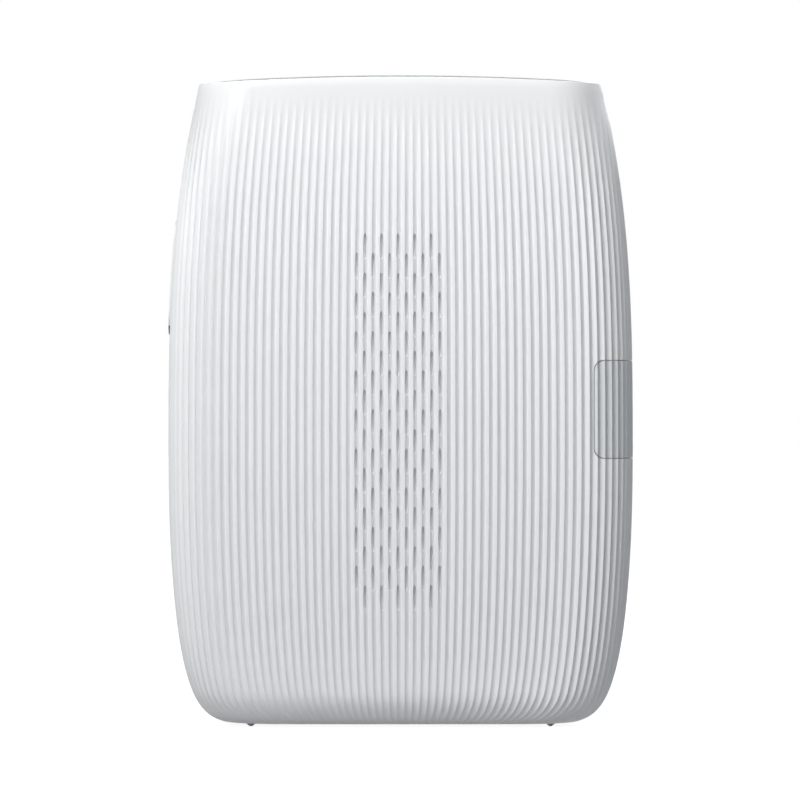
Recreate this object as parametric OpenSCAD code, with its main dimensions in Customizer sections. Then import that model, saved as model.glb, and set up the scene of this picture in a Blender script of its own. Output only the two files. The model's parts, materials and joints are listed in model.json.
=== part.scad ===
// Compact photo printer: a fluted pocket casing around an instant-film chamber.
// Millimetres. +X is the printer's right seen from the front, -Y the front, +Z up.
// The origin is on the ground below the middle of the printer.

/* [Casing] */
// Widest width of the casing, side to side
body_w = 90; // [89.5:0.5:94]
// Height of the casing, without its feet
body_h = 125; // [124.5:0.5:130]
// Depth of the casing, front to back
body_d = 37.3; // [37.1:0.1:40]
// Height of the widest level above the underside
widest_h = 52; // [48:1:56]
// How far each side draws in at the top edge
top_draw = 6.05; // [4:0.05:6.5]
// How far the middle of the top edge stands above its ends
top_rise = 1.3; // [0.6:0.1:2]
// Radius of the upright corners
corner_r = 11; // [10.4:0.1:11.4]
// Bow of the front and back faces
face_bow = 0.6; // [0.2:0.05:0.9]
// Radius that rounds the front and back into the underside
sole_r = 6.5; // [4:0.1:7]
// Thickness of the casing wall
wall = 2; // [1.6:0.05:2.1]
// Height of the feet below the casing
foot_h = 0.6; // [0.4:0.1:1.2]
// Diameter of a foot
foot_d = 2; // [1.6:0.1:3]
// Distance of a foot in from the widest part of its side
foot_in = 16; // [15:0.5:20]
// Distance of a foot from the middle, front to back
foot_y = 8; // [6.5:0.5:8.5]

/* [Flutes] */
// Number of upright flutes around the casing
flutes = 146; // [130:2:160]
// Depth of a flute below its ridges
flute_depth = 0.3; // [0.1:0.05:0.4]
// Distance from the top edge over which the flutes fade out
fade_top = 28; // [16:1:36]
// Distance from the underside over which the flutes fade out
fade_sole = 19; // [8:1:24]
// Flutes from the middle of each side to the seam of the two shells
seam_flutes = 3.5; // [3.5:1:3.5]

/* [Top] */
// How much shorter than the film pack the film slot is at each end
slot_inset = 2; // [1.8:0.1:2.8]
// Depth of that slot, front to back
slot_d = 4.9; // [4.4:0.1:5.2]
// Thickness of the top plate at its ends
bezel_t = 1.4; // [1:0.1:2]
// How far the top plate lies below the rim of the shells
bezel_drop = 0.25; // [0.1:0.05:0.5]

/* [Film door] */
// How far the door opening reaches beyond the film pack at each side
door_room = 1.8; // [1.5:0.1:2.1]
// Height of the door opening's lower edge above the underside
door_h0 = 8; // [7.4:0.1:8.4]
// Distance of the door opening's upper edge below the top edge
door_drop = 15; // [13:0.5:16]
// Radius of the door's corners
door_r = 4; // [2:0.5:6]
// Depth of the hinge axis below the back face
hinge_in = 1.7; // [1.6:0.05:1.9]
// Diameter of the hinge knuckles
knuckle_d = 2.5; // [2.4:0.05:2.7]
// Diameter of the door hinge pin
hinge_pin_d = 1.4; // [1:0.1:1.5]
// Thickness of the inner door plate
liner_t = 1.3; // [1.1:0.1:1.4]
// Width of the film window in the door
window_w = 13; // [10:0.5:16]
// Height of the film window in the door
window_h = 20; // [14:1:26]
// Bow of the springs that press the film pack forward
pack_spring_bow = 2; // [1:0.1:2.6]

/* [Film chamber] */
// Room beside the film pack, out to the widest part of the casing
side_room = 14.5; // [14.25:0.25:15]
// Room above the film chamber for the rollers and the slot
roller_room = 25.05; // [24.95:0.05:28]
// Room in front of the film chamber for the board, battery and motor
front_room = 16.15; // [16.05:0.05:17]
// Room for the pack at its sides and ends
pack_gap = 1; // [0.6:0.1:1.2]
// Wall of the film chamber
tub_t = 1.5; // [1.2:0.1:1.6]
// Distance of the film behind the chamber's front wall
film_in = 1; // [0.8:0.1:1.2]
// Travel of the claw that lifts one film into the rollers
claw_travel = 6; // [4:0.5:6]

/* [Rollers and gears] */
// Diameter of the film rollers
roller_d = 7.7; // [7.2:0.05:7.8]
// How much shorter than the film pack the rollers are at each end
roller_inset = 3; // [2.8:0.1:4.5]
// Diameter of the roller shafts
shaft_d = 3; // [2.5:0.1:3.2]
// Height of the rollers above the film chamber
roller_rise = 7.5; // [7.4:0.1:8.2]
// Module of the gears
gear_m = 0.5; // [0.5:0.01:0.51]
// Thickness of a gear
gear_t = 1.6; // [1:0.1:1.8]
// Diameter of the gear axles
axle_d = 2; // [1.6:0.1:2.2]
// Thickness of the metal side plates
plate_t = 1.5; // [1:0.1:1.6]
// Diameter of the motor
motor_d = 12; // [10:0.5:12]
// Thickness of the motor across its two flats
motor_flat = 10; // [8:0.5:10]
// Length of the motor
motor_l = 21; // [16:1:24]

/* [Door lock] */
// Length of the lock's raised rim
lock_l = 22.3; // [20:0.1:24]
// Width of the lock's raised rim
lock_w = 8; // [7:0.1:9]
// Distance of the lock's middle below the top edge
lock_drop = 38.5; // [38:0.05:41]
// How far the rim stands out from the casing
lock_rise = 0.45; // [0.3:0.05:0.8]
// Travel of the lock
lock_travel = 2.3; // [1.5:0.1:2.4]

/* [Port cover] */
// How far the cover reaches onto the front, in from the widest part of the side
cover_wrap = 7.9; // [7:0.1:8.2]
// Height of the cover's lower edge above the underside
cover_h0 = 51.3; // [50.5:0.1:52]
// Height of the cover
cover_l = 19; // [18:0.1:19.8]
// Place of the opening's back edge behind the middle of the side
cover_y = 2.6; // [2.5:0.1:3.2]
// Radius of the cover's front corners
cover_r = 2; // [1:0.25:3]
// Thickness of the cover
cover_t = 1.4; // [1.2:0.05:1.5]
// Diameter of the cover's hinge pin
cover_pin_d = 0.9; // [0.7:0.05:1]

/* [Controls] */
// Height of the control panel's middle above the underside
panel_h = 33.4; // [31:0.2:35]
// Length of the control panel
panel_l = 20; // [19:0.5:21]
// Width of the control panel
panel_w = 8; // [7.6:0.1:8.8]
// Diameter of the power button
power_d = 5.6; // [4:0.1:6]
// Diameter of the function button
function_d = 4.2; // [3:0.1:5]
// Travel of the buttons
button_travel = 0.5; // [0.3:0.05:0.5]

/* [Electronics] */
// Width of the battery
battery_w = 38; // [30:0.5:40]
// Height of the battery
battery_h = 46; // [40:0.5:48]
// Thickness of the battery
battery_t = 6.1; // [5:0.1:6.2]
// Thickness of the circuit boards
board_t = 1; // [0.8:0.1:1.2]

/* [Fits] */
// Gap around a cover or a button
gap = 0.25; // [0.15:0.01:0.3]
// Gap between two pieces that are fitted together
seam = 0.1; // [0.05:0.01:0.15]
// Radial clearance of a shaft in its bore
run_fit = 0.05; // [0.02:0.01:0.08]

/* [Hidden] */
$fn = 48;

// Outer form: how steeply the sides draw in above and below the widest level
high_power = 2.95;
low_power = 1 / 13;
sole_reach = 0.7;
// The top edge rises over this much of the height
arch_h = 15;
// How quickly the flutes fade towards the top and the underside
top_fade_power = 1.6;
sole_fade_power = 0.4;
half_d = body_d / 2;
edge_x = body_w/2 - top_draw;
foot_x = body_w/2 - foot_in;
top_z = foot_h + body_h;
seam_u = flutes/4 + seam_flutes;
back_u = flutes / 2;
shell_levels = concat([for (i = [0:3]) door_h0 * pow(i/4, 1.8)],
    [for (i = [0:3]) door_h0 + (widest_h - door_h0) * i/3],
    [for (i = [1:6]) widest_h + (body_h - widest_h) * pow(i/6, 0.85)]);

// Sizes that follow from the film pack, which the casing is built around
pack_w = body_w - 2*side_room;
slot_w = pack_w - 2*slot_inset;
roller_l = pack_w - 2*roller_inset;
door_w = pack_w + 2*door_room;

// Film door
door_h1 = body_h - door_drop;
hinge_y = half_d - hinge_in;
hinge_z = foot_h + door_h0 + hinge_in + gap;
door_skin_h0 = hinge_z - foot_h + knuckle_d/2 + 0.2;
liner_y1 = half_d - wall - 0.45;
liner_y0 = liner_y1 - liner_t;
knuckle_end = pack_w/2 - 2.5;
knuckle_mid = 6;
knuckle_way = (knuckle_end + knuckle_mid) / 2;
knuckle_ends = [-knuckle_end, -knuckle_way, -knuckle_mid, knuckle_mid, knuckle_way, knuckle_end];
knuckle_gap = 0.15;
window_up = 2;
window_z = foot_h + (door_h0 + door_h1)/2 + window_up;

// Film chamber
seal_t = 0.7;
rim_y = liner_y0 - seam - seal_t;
tub_y = -half_d + front_room;
tub_x = pack_w/2 + pack_gap;
tub_z0 = hinge_z;
tub_z1 = top_z - roller_room;
film_y = tub_y + film_in;
liner_x = tub_x - 0.5;
tub_front = tub_y - tub_t;
tub_outer = tub_x + tub_t;
deck_z = tub_z1 + tub_t;
film_channel = 1.8;
claw_low = tub_z0 + 4;
claw_guide_zs = [claw_low + 26, tub_z1 - 26];
claw_guide_y = tub_y + 1.8;
claw_guide_d = 1.8;
claw_t = 1.2;
spring_half_l = 25;
spring_w = 7;
spring_x = [window_w/2 + 7.5, window_w/2 + 7.5 + spring_w];
spring_t = 0.3;
switch_x = pack_w/2 - 8.5;
switch_h = 1.9;
switch_z = deck_z + switch_h/2;
plunger_d = 1.1;

// Roller and gear places: [y, z]
roller_teeth = 16;
idler_teeth = 24;
pinion_teeth = 10;
roller_z = tub_z1 + roller_rise;
drive_at = [film_y - gear_m*roller_teeth/2, roller_z];
pinch_at = [film_y + gear_m*roller_teeth/2, roller_z];
idler_way = -101.5;
reduction_way = -90;
motor_way = -110;
idler_at = drive_at + gear_m*(roller_teeth + idler_teeth)/2 * [cos(idler_way), sin(idler_way)];
reduction_at = idler_at + gear_m*(idler_teeth + pinion_teeth)/2 * [cos(reduction_way), sin(reduction_way)];
motor_at = reduction_at + gear_m*(idler_teeth + pinion_teeth)/2 * [cos(motor_way), sin(motor_way)];
idler_turn = mesh_turn(idler_way, roller_teeth, 0, idler_teeth);
reduction_turn = mesh_turn(reduction_way, idler_teeth, idler_turn, pinion_teeth);
gear_x1 = tub_outer + 0.4;
gear_x2 = gear_x1 + gear_t + 0.4;
plate_x = roller_l/2 + 2.7;
bush_d = shaft_d + 1.4;
shaft_end = gear_x1 + gear_t + 0.2;
backlash = 0.06;
pressure = 20;
tooth_steps = [-1.1, -0.5, 0, 0.4, 0.8];
plate_front = drive_at[0] - 5;
plate_back = pinch_at[0] + 4.5;
plate_top = roller_z + 4.5;
motor_shaft_d = 1.5;
motor_boss_l = 1.2;
cam_d = 6.2;
cam_off = 0.8;
pinch_spring_x = roller_l/2 + 0.8;
pinch_spring_y = pinch_at[0] + bush_d/2;
chute_z0 = roller_z + roller_d/2 + 1.15;
chute_z1 = top_z - top_rise - bezel_drop - bezel_t;
chute_throat = 2.8;
chute_gap = 0.15;
felt_t = 1.1;
head_z0 = tub_z1 - 8;
head_z1 = roller_z - roller_d/2 - 0.5;
lens_d = 0.6;

// Door lock, in a frame on the left side: x outward, z up along the side
lock_h = body_h - lock_drop;
lock_tilt = side_lean(lock_h, lock_l);
lock_rim = 0.65;
slider_l = lock_l - 2*lock_rim - lock_travel - 0.3;
slider_z = (lock_l/2 - lock_rim) - slider_l/2 - 0.15;
stem_z = slider_z + 1.75;
stem_h = 3;
bar_x = -3.9;
bar_t = 1;
tongue_y = liner_y0 - 3.8;
tongue_t = 1.2;
tongue_reach = side_at(lock_h) - liner_x + 0.5;
tongue_z = foot_h + lock_h + stem_z - stem_h/2 - tongue_reach*sin(lock_tilt);
lug_h = 6;
lug_z = tongue_z - 0.3;

// Port cover
cover_x = body_w/2 - cover_wrap;
cover_h1 = cover_h0 + cover_l;
cover_z0 = foot_h + cover_h0;
cover_z1 = foot_h + cover_h1;
cover_knuckle_d = 1.8;
cover_hinge_x = side_at(cover_h1) - 0.95;
cover_hinge_y = cover_y - 1.45;
cover_hinge = [cover_hinge_x, cover_hinge_y];
boss_h = 2.3;
boss_l = boss_h - 0.3;
tray_t = 1.2;
usb_z = (cover_z0 + cover_z1) / 2;
usb_w = 9;
usb_t = 3.3;
board_y = film_y - 4.5;
board_front = board_y - board_t;
usb_y = board_y + usb_t/2;
usb_l = 7.2;
usb_wall = 0.3;
tray_x = side_at(cover_h1 + 1) - wall - seam;
key_l = 2.5;
reset_d = 1.8;
reset_z = cover_z0 + 2.7;
charge_d = 1.6;
charge_z = cover_z1 - 3;

// Control panel, in a frame on the right side: x outward, z up along the side
panel_tilt = side_lean(panel_h, panel_l);
panel_t = 1.85;
panel_in = 0.35;
power_z = panel_l * 0.23;
function_z = -panel_l * 0.28;
light_w = 3.6;
light_h = 1;
flange_t = 0.6;
flange_in = 0.1;
key_x = -panel_in - panel_t - flange_in - flange_t - button_travel - 0.1;
key_t = 0.9;
button_board_x = key_x - key_t;

// Screws
post_d = 4;
post_out = 4;
post_under = flute_depth + 0.1;
post_rib = 1.2;
post_low = 15.4;
post_drop = 5.5;
post_x = tub_outer + post_out;
post_zs = [foot_h + post_low, cover_z0 - post_drop];
screw_d = 1.6;
screw_l = 7;
head_d = 3.4;

// Boards: chips as [x, height, width, length, thickness] on the front of the main board
board_x = tub_outer;
board_h0 = 11.4;
board_drop = 53.6;
board_h1 = body_h - board_drop;
board_screw_in = 5;
board_screw_low = 4;
board_screw_high = 6;
board_screw_x = board_x - board_screw_in;
board_screw_d = 1;
board_screw_zs = [foot_h + board_h0 + board_screw_low, foot_h + board_h1 - board_screw_high];
chips = [[-board_x + 9, board_h1 - 21.4, 9, 9, 1], [-8, board_h1 - 15.4, 12, 6, 0.9],
    [board_x - 15, board_h0 + 18.6, 8, 8, 1], [board_x - 7, board_h0 + 8.6, 5, 4, 0.8],
    [-board_x + 8, board_h0 + 12.6, 7, 5, 0.8]];
can_w = 16;
can_h = 14;
can_t = 1.8;
can_up = 26.6;
plug_w = 14;
plug_t = 1;
plug_l = 3;
plug_drop = 5.4;
plug_z = foot_h + board_h1 - plug_drop;
flex_w = 12;
flex_t = 0.2;
flex_gap = 2;
flex_x = plate_x - motor_l - motor_boss_l - flex_w/2 - flex_gap;
battery_in = 3;
battery_up = 24.6;
battery_x = -board_x + battery_w/2 + battery_in;

/* ---- Outer form ---- */

// Share of the top edge's rise at height h above the underside
function arch_share(h) = max(0, (h - body_h + arch_h) / arch_h);

// Half the width of the casing at height h
function side_at(h) =
    let(g = h - top_rise*arch_share(h), top = body_h - top_rise - widest_h)
    g > widest_h ? body_w/2 - top_draw*pow((g - widest_h)/top, high_power)
    : body_w/2 * pow(1 - pow((widest_h - g)/(widest_h + sole_reach), 2), low_power);

// Half the depth of the casing at height h
function depth_at(h) = h < sole_r ? half_d - sole_r + sqrt(sole_r*sole_r - pow(sole_r - h, 2)) : half_d;

// Angle by which a side leans over a length centred on height h
function side_lean(h, l) = atan((side_at(h - l/2) - side_at(h + l/2)) / l);

function round_at(h) = min(corner_r, depth_at(h) - 0.1);
function quarter(a, d, r) = a - r + PI/2*r + d - r;

// Place and facing on one quarter of a level, t mm from the middle of the front
function quarter_at(t, a, d, r) =
    t < a - r ? [t, -d, 0] :
    t < a - r + PI/2*r ?
        let(q = (t - a + r)/r * 180/PI) [a - r + r*sin(q), -(d - r) - r*cos(q), q] :
    [a, t - quarter(a, d, r), 90];

// Place and outward direction at flute u, counted from the middle of the front
function rim(u, h) =
    let(f = (u + flutes) % flutes * 4/flutes, k = floor(f), part = f - k,
        a = side_at(h), d = depth_at(h), r = round_at(h),
        p = quarter_at((k % 2 == 0 ? part : 1 - part) * quarter(a, d, r), a, d, r),
        sx = k < 2 ? 1 : -1, sy = k == 0 || k == 3 ? 1 : -1)
    [sx*p[0], sy*p[1], sx*sin(p[2]), -sy*cos(p[2])];

// Share of the full flute depth at height h
function fade(h) =
    pow(min(1, h/fade_sole), sole_fade_power)
    * (1 - pow(min(1, max(0, (h - body_h + fade_top)/(fade_top - 4))), top_fade_power));

// A point of the casing: at flute u and level h, inward by depth, standing at height z
function skin_point(u, h, z, depth) =
    let(p = rim(u, h), x = p[0] - p[2]*depth, y = p[1] - p[3]*depth)
    [x, y*(1 - face_bow/depth_at(h)*pow(x/side_at(h), 2)),
        foot_h + z - top_rise*arch_share(h)*pow(x/edge_x, 2)];

function flute_pitch(h) = quarter(side_at(h), depth_at(h), round_at(h)) * 4/flutes;

// How far forward the face of the casing stands at x and height h
function face_y(x, h) =
    let(a = side_at(h), d = depth_at(h), r = round_at(h), e = max(0, x - (a - r)))
    -(d - r + sqrt(r*r - e*e)) * (1 - face_bow/d*pow(x/a, 2));

// The floor of the shells is one wall thick, so low inner levels stand higher
function inner_h(h) = h < door_h0 ? wall + h*(door_h0 - wall)/door_h0 : h;

// A length of the fluted wall between flutes u0 and u1, with a floor where sole is true
module skin(u0, u1, levels, thick = wall, sole = false, inset = 0, floor_y = 0) {
    n = u1 - u0;
    m = len(levels) - 1;
    w = 3*n + 2;
    function at(k, h) = u0 + k + (k == 0 ? inset : k == n ? -inset : 0) / flute_pitch(h);
    function valley(k, j) = j*w + k;
    function ridge(k, j) = j*w + n + 1 + k;
    function inner(k, j) = j*w + 2*n + 1 + k;
    wall_points = [for (j = [0:m]) let(h = levels[j], z = sole ? inner_h(h) : h) each concat(
        [for (k = [0:n]) skin_point(at(k, h), h, h, flute_depth*fade(h))],
        [for (k = [0:n-1]) skin_point((at(k, h) + at(k + 1, h))/2, h, h, 0)],
        [for (k = [0:n]) skin_point(at(k, h), h, z, thick)])];
    under = len(wall_points);
    over = under + 1;
    floor_points = [[0, floor_y, foot_h], [0, floor_y, foot_h + wall]];
    wall_faces = [for (j = [0:m-1], k = [0:n-1]) each [
        [valley(k,j), valley(k,j+1), ridge(k,j+1), ridge(k,j)],
        [ridge(k,j), ridge(k,j+1), valley(k+1,j+1), valley(k+1,j)],
        [inner(k,j), inner(k+1,j), inner(k+1,j+1), inner(k,j+1)]]];
    end_faces = [for (j = [0:m-1]) each [
        [valley(0,j+1), valley(0,j), inner(0,j), inner(0,j+1)],
        [valley(n,j), valley(n,j+1), inner(n,j+1), inner(n,j)]]];
    top_faces = [for (k = [0:n-1])
        [ridge(k,m), valley(k,m), inner(k,m), inner(k+1,m), valley(k+1,m)]];
    low_faces = [for (k = [0:n-1]) [ridge(k,0), valley(k+1,0), inner(k+1,0), inner(k,0), valley(k,0)]];
    sole_faces = concat(
        [for (k = [0:n-1]) each [[under, valley(k,0), ridge(k,0)], [under, ridge(k,0), valley(k+1,0)],
            [over, inner(k+1,0), inner(k,0)]]],
        [[under, valley(n,0), valley(0,0)], [over, inner(0,0), inner(n,0)],
            [valley(0,0), valley(n,0), inner(n,0), inner(0,0)]]);
    polyhedron(sole ? concat(wall_points, floor_points) : wall_points,
        concat(wall_faces, end_faces, top_faces, sole ? sole_faces : low_faces));
}

// Outline of the casing at height h, moved inward by depth
function outline(h, depth) =
    [for (u = [0:2:flutes-1]) let(p = skin_point(u, h, h, depth)) [p[0], p[1]]];

/* ---- Small shapes ---- */

module box(x, y, z) {
    translate([x[0], y[0], z[0]]) cube([x[1] - x[0], y[1] - y[0], z[1] - z[0]]);
}

module rod_x(x, at, d) {
    translate([x[0], at[0], at[1]]) rotate([0, 90, 0]) cylinder(d = d, h = x[1] - x[0]);
}

module rod_y(y, at, d) {
    translate([at[0], y[1], at[1]]) rotate([90, 0, 0]) cylinder(d = d, h = y[1] - y[0]);
}

module rod_z(z, at, d) {
    translate([at[0], at[1], z[0]]) cylinder(d = d, h = z[1] - z[0]);
}

// Extrudes a shape drawn as [y, z] along x
module along_x(x) {
    translate([x[0], 0, 0]) rotate([90, 0, 90]) linear_extrude(x[1] - x[0]) children();
}

// Extrudes a shape drawn as [x, z] along y
module along_y(y) {
    translate([0, y[1], 0]) rotate([90, 0, 0]) linear_extrude(y[1] - y[0]) children();
}

module rounded(w, h, r) {
    square([w - 2*r, h], center = true);
    square([w, h - 2*r], center = true);
    for (x = [-1, 1], y = [-1, 1]) translate([x*(w/2 - r), y*(h/2 - r)]) circle(r);
}

// A slot with round ends, l long in z and w wide in y, from x[0] to x[1]
module pill(l, w, x) {
    along_x(x) rounded(w, l, w/2 - 0.001);
}

module both_sides() {
    children();
    mirror([1, 0, 0]) children();
}

/* ---- Gears ---- */

function involute(q) = tan(q)*180/PI - q;

// Half the angle of a tooth at radius r
function tooth_half(n, r) =
    let(pitch_r = gear_m*n/2, base_r = pitch_r*cos(pressure))
    90/n - backlash/2/pitch_r*180/PI + involute(pressure) - (r > base_r ? involute(acos(base_r/r)) : 0);

function gear_outline(n) =
    let(rs = [for (step = tooth_steps) gear_m*(n/2 + step)])
    [for (t = [0:n-1]) each concat(
        [for (i = [0:4]) let(q = 360*t/n - tooth_half(n, rs[i])) rs[i]*[cos(q), sin(q)]],
        [for (i = [4:-1:0]) let(q = 360*t/n + tooth_half(n, rs[i])) rs[i]*[cos(q), sin(q)]])];

// Turn of a gear of b teeth that meshes with one of a teeth turned by t, lying in direction way
function mesh_turn(way, a, t, b) = way + 180 - (0.5 - (way - t)*a/360) * 360/b;

module gear(n, x, at, turn) {
    translate([0, at[0], at[1]]) rotate([turn, 0, 0]) along_x(x) polygon(gear_outline(n));
}

/* ---- Casing ---- */

module at_lock() {
    translate([-side_at(lock_h), 0, foot_h + lock_h]) rotate([0, lock_tilt, 0]) mirror([1, 0, 0]) children();
}

module at_panel() {
    translate([side_at(panel_h), 0, foot_h + panel_h]) rotate([0, -panel_tilt, 0]) children();
}

module cover_block(shrink) {
    w = body_w;
    translate([cover_x + shrink + w/2, 0, (cover_z0 + cover_z1)/2])
        along_y([-body_d, cover_y]) rounded(w, cover_z1 - cover_z0 - 2*shrink, cover_r);
}

module door_block(h0, h1, shrink) {
    translate([0, 0, foot_h + (h0 + h1)/2])
        along_y([half_d - wall - corner_r/2, body_d]) rounded(door_w - 2*shrink, h1 - h0, door_r);
}

module foot_holes() {
    for (x = [-foot_x, foot_x], y = [-foot_y, foot_y])
        rod_z([foot_h - 1, foot_h + wall/2], [x, y], foot_d);
}

// A rib ties the inner side of each post to the wall
module screw_post(z) {
    start = face_y(post_x + post_d/2, z - foot_h) + post_under;
    rod_y([start, tub_front], [post_x, z], post_d);
    box([post_x - post_d/2, post_x], [face_y(post_x, z - foot_h) + post_under, start + 1.5],
        [z - post_rib/2, z + post_rib/2]);
}

module front_shell() {
    color("white") difference() {
        union() {
            skin(-seam_u, seam_u, shell_levels, sole = true, floor_y = -foot_y);
            both_sides() for (z = post_zs) screw_post(z);
        }
        cover_block(0);
        at_lock() pill(lock_l + 2*seam, lock_w + 2*seam, [-3*wall, 3]);
        at_panel() along_x([-3*wall, 3]) rounded(panel_w + 2*seam, panel_l + 2*seam, 1.5);
        both_sides() for (z = post_zs) rod_y([tub_y - screw_l - 0.3, tub_y], [post_x, z], screw_d);
        foot_holes();
    }
}

module rear_shell() {
    color("white") difference() {
        skin(seam_u, flutes - seam_u, shell_levels, sole = true, inset = seam, floor_y = foot_y);
        door_block(door_h0, door_h1, 0);
        foot_holes();
    }
}

module top_bezel() {
    steps = 24;
    crown = [for (i = [-steps:steps]) [edge_x*i/steps, top_z - bezel_drop - top_rise*pow(i/steps, 2)]];
    color("whitesmoke") difference() {
        intersection() {
            translate([0, 0, chute_z1]) linear_extrude(2*top_rise + bezel_t)
                polygon(outline(body_h, wall + seam));
            along_y([-half_d, half_d]) polygon(concat(crown, [[edge_x, 0], [-edge_x, 0]]));
        }
        translate([0, film_y, 0]) linear_extrude(2*body_h) rounded(slot_w, slot_d, 1);
    }
}

module chute_mouth(top, low) {
    narrow = chute_throat/2;
    along_x([-slot_w/2 + chute_gap, slot_w/2 - chute_gap]) translate([film_y, 0]) polygon([
        [-slot_d/2, top], [slot_d/2, top], [slot_d/2, top - 5], [narrow, low + 2], [narrow, low],
        [-narrow, low], [-narrow, low + 2], [-slot_d/2, top - 5]]);
}

module exit_chute() {
    half_w = slot_w/2 + 1.5;
    half_t = slot_d/2 + 1.25;
    color("dimgray") difference() {
        box([-half_w, half_w], [film_y - half_t, film_y + half_t], [chute_z0, chute_z1]);
        chute_mouth(chute_z1, chute_z0);
        chute_mouth(chute_z1 + 1, chute_z0 - 1);
    }
}

module slot_felts() {
    x = slot_w/2 - chute_gap;
    color("black") for (s = [-1, 1]) translate([0, film_y + s*(chute_throat - felt_t)/2, 0])
        box([-x, x], [-felt_t/2, felt_t/2], [chute_z0, chute_z0 + 2]);
}

module feet() {
    plug_z = foot_h + wall/2;
    color("silver") for (x = [-foot_x, foot_x], y = [-foot_y, foot_y])
        translate([x, y, 0]) rotate_extrude() polygon([[0, 0], [foot_d*0.3, 0],
            [foot_d*0.42, foot_h*0.25], [foot_d/2, foot_h*0.8], [foot_d/2, plug_z], [0, plug_z]]);
}

/* ---- Door lock ---- */

// Drum that bends the face of the lock like the casing's side, standing out by rise
module lock_drum(rise) {
    sag = side_at(lock_h) - (side_at(lock_h - lock_l/2) + side_at(lock_h + lock_l/2))/2;
    r = lock_l*lock_l/8/sag;
    translate([rise - r, lock_w, 0]) rotate([90, 0, 0]) cylinder(r = r, h = 2*lock_w, $fn = 720);
}

module lock_track() {
    inner_l = lock_l - 2*lock_rim;
    inner_w = lock_w - 2*lock_rim;
    color("whitesmoke") at_lock() difference() {
        intersection() {
            pill(lock_l, lock_w, [-wall - 0.6, 3]);
            lock_drum(lock_rise);
        }
        pill(inner_l, inner_w, [-wall + 0.4, 4]);
        box([-wall - 2, 0], [-1.3, 1.3], [stem_z - stem_h/2 - lock_travel - 0.2, stem_z + stem_h/2 + 0.2]);
    }
}

module lock_slider() {
    color("whitesmoke") at_lock() {
        intersection() {
            translate([0, 0, slider_z]) pill(slider_l, lock_w - 2*lock_rim - 0.3, [-wall + 0.5, 3]);
            lock_drum(lock_rise - 0.1);
        }
        box([bar_x, -wall + 0.5], [-1.1, 1.1], [stem_z - stem_h/2, stem_z + stem_h/2]);
    }
}

module lock_bar() {
    z = [stem_z - stem_h/2, stem_z + stem_h/2];
    color("gray") at_lock() {
        box([bar_x - bar_t, bar_x], [-1.6, tongue_y + tongue_t], z);
        box([-tongue_reach, bar_x - bar_t/2], [tongue_y, tongue_y + tongue_t], z);
    }
}

/* ---- Port cover ---- */

module port_cover() {
    color("gainsboro") difference() {
        union() {
            intersection() {
                skin(seam_u - 18, seam_u - 1, [for (i = [0:3]) cover_h0 - 1 + (cover_h1 - cover_h0 + 2)*i/3],
                    thick = cover_t);
                cover_block(gap);
                box([0, body_w], [-body_d, cover_hinge_y], [0, body_h]);
            }
            rod_z([cover_z0 + boss_h + 0.5, cover_z1 - boss_h - 0.5], cover_hinge, cover_knuckle_d);
        }
        rod_z([cover_z0, cover_z1], cover_hinge, cover_pin_d + 2*run_fit);
        for (z = [cover_z0 - 1, cover_z1 - boss_h - 0.3])
            rod_z([z, z + boss_h + 1.3], cover_hinge, cover_knuckle_d + 0.5);
    }
}

module port_tray() {
    z = [cover_z0 - 1.3, cover_z1 + 1.3];
    color("silver") difference() {
        union() {
            intersection() {
                translate([0, 0, z[0]]) linear_extrude(z[1] - z[0]) difference() {
                    polygon(outline(cover_h1 + 1, wall + seam));
                    polygon(outline(cover_h1 + 1, wall + seam + tray_t));
                }
                box([cover_x - 2, body_w], [-body_d, cover_y + 1.4], [0, body_h]);
            }
            for (low = [cover_z0 + gap, cover_z1 - gap - boss_l]) {
                rod_z([low, low + boss_l], cover_hinge, cover_knuckle_d);
                box([tray_x - tray_t/2, cover_hinge_x], [cover_hinge_y - 0.65, cover_hinge_y + 0.65],
                    [low, low + boss_l]);
            }
        }
        rod_z([cover_z0, cover_z1], cover_hinge, cover_pin_d);
        box([tray_x - 4, body_w], [board_y - seam, board_y + usb_t + seam],
            [usb_z - usb_w/2 - seam, usb_z + usb_w/2 + seam]);
        rod_x([tray_x - 4, tray_x + 1], [usb_y, reset_z], reset_d + 2*run_fit);
        rod_x([tray_x - 4, tray_x + 1], [usb_y, charge_z], charge_d);
    }
}

module port_hinge_pin() {
    color("silver") rod_z([cover_z0 + gap, cover_z1 - gap], cover_hinge, cover_pin_d);
}

module usb_socket() {
    x = [tray_x - 0.1 - usb_l, tray_x - 0.1];
    tongue_half_w = 3.3;
    tongue_half_t = 0.35;
    translate([0, usb_y, usb_z]) {
        color("silver") difference() {
            along_x(x) rounded(usb_t, usb_w, 1.4);
            along_x([x[0] + 1, x[1] + 1]) rounded(usb_t - 2*usb_wall, usb_w - 2*usb_wall, 1.4 - usb_wall);
        }
        color("black") box([x[0] + 1, x[1] - 0.8], [-tongue_half_t, tongue_half_t],
            [-tongue_half_w, tongue_half_w]);
    }
}

module charge_light() {
    color("white") rod_x([tray_x - 0.1 - key_l, tray_x - 0.1], [usb_y, charge_z], charge_d);
}

module reset_button() {
    color("black") rod_x([tray_x - 0.1 - key_l, tray_x + 0.1], [usb_y, reset_z], reset_d);
}

/* ---- Controls ---- */

module light_shape() {
    rounded(light_w, light_h, light_h/2 - 0.01);
}

module control_panel() {
    color("whitesmoke") at_panel() difference() {
        along_x([-panel_t - panel_in, -panel_in]) rounded(panel_w, panel_l, 1.4);
        rod_x([-5, 1], [0, power_z], power_d + 2*run_fit);
        rod_x([-5, 1], [0, function_z], function_d + 2*run_fit);
        along_x([-5, 1]) light_shape();
    }
}

module status_light() {
    color("white") at_panel() along_x([-panel_t - panel_in, -panel_in - 0.05]) light_shape();
}

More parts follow.
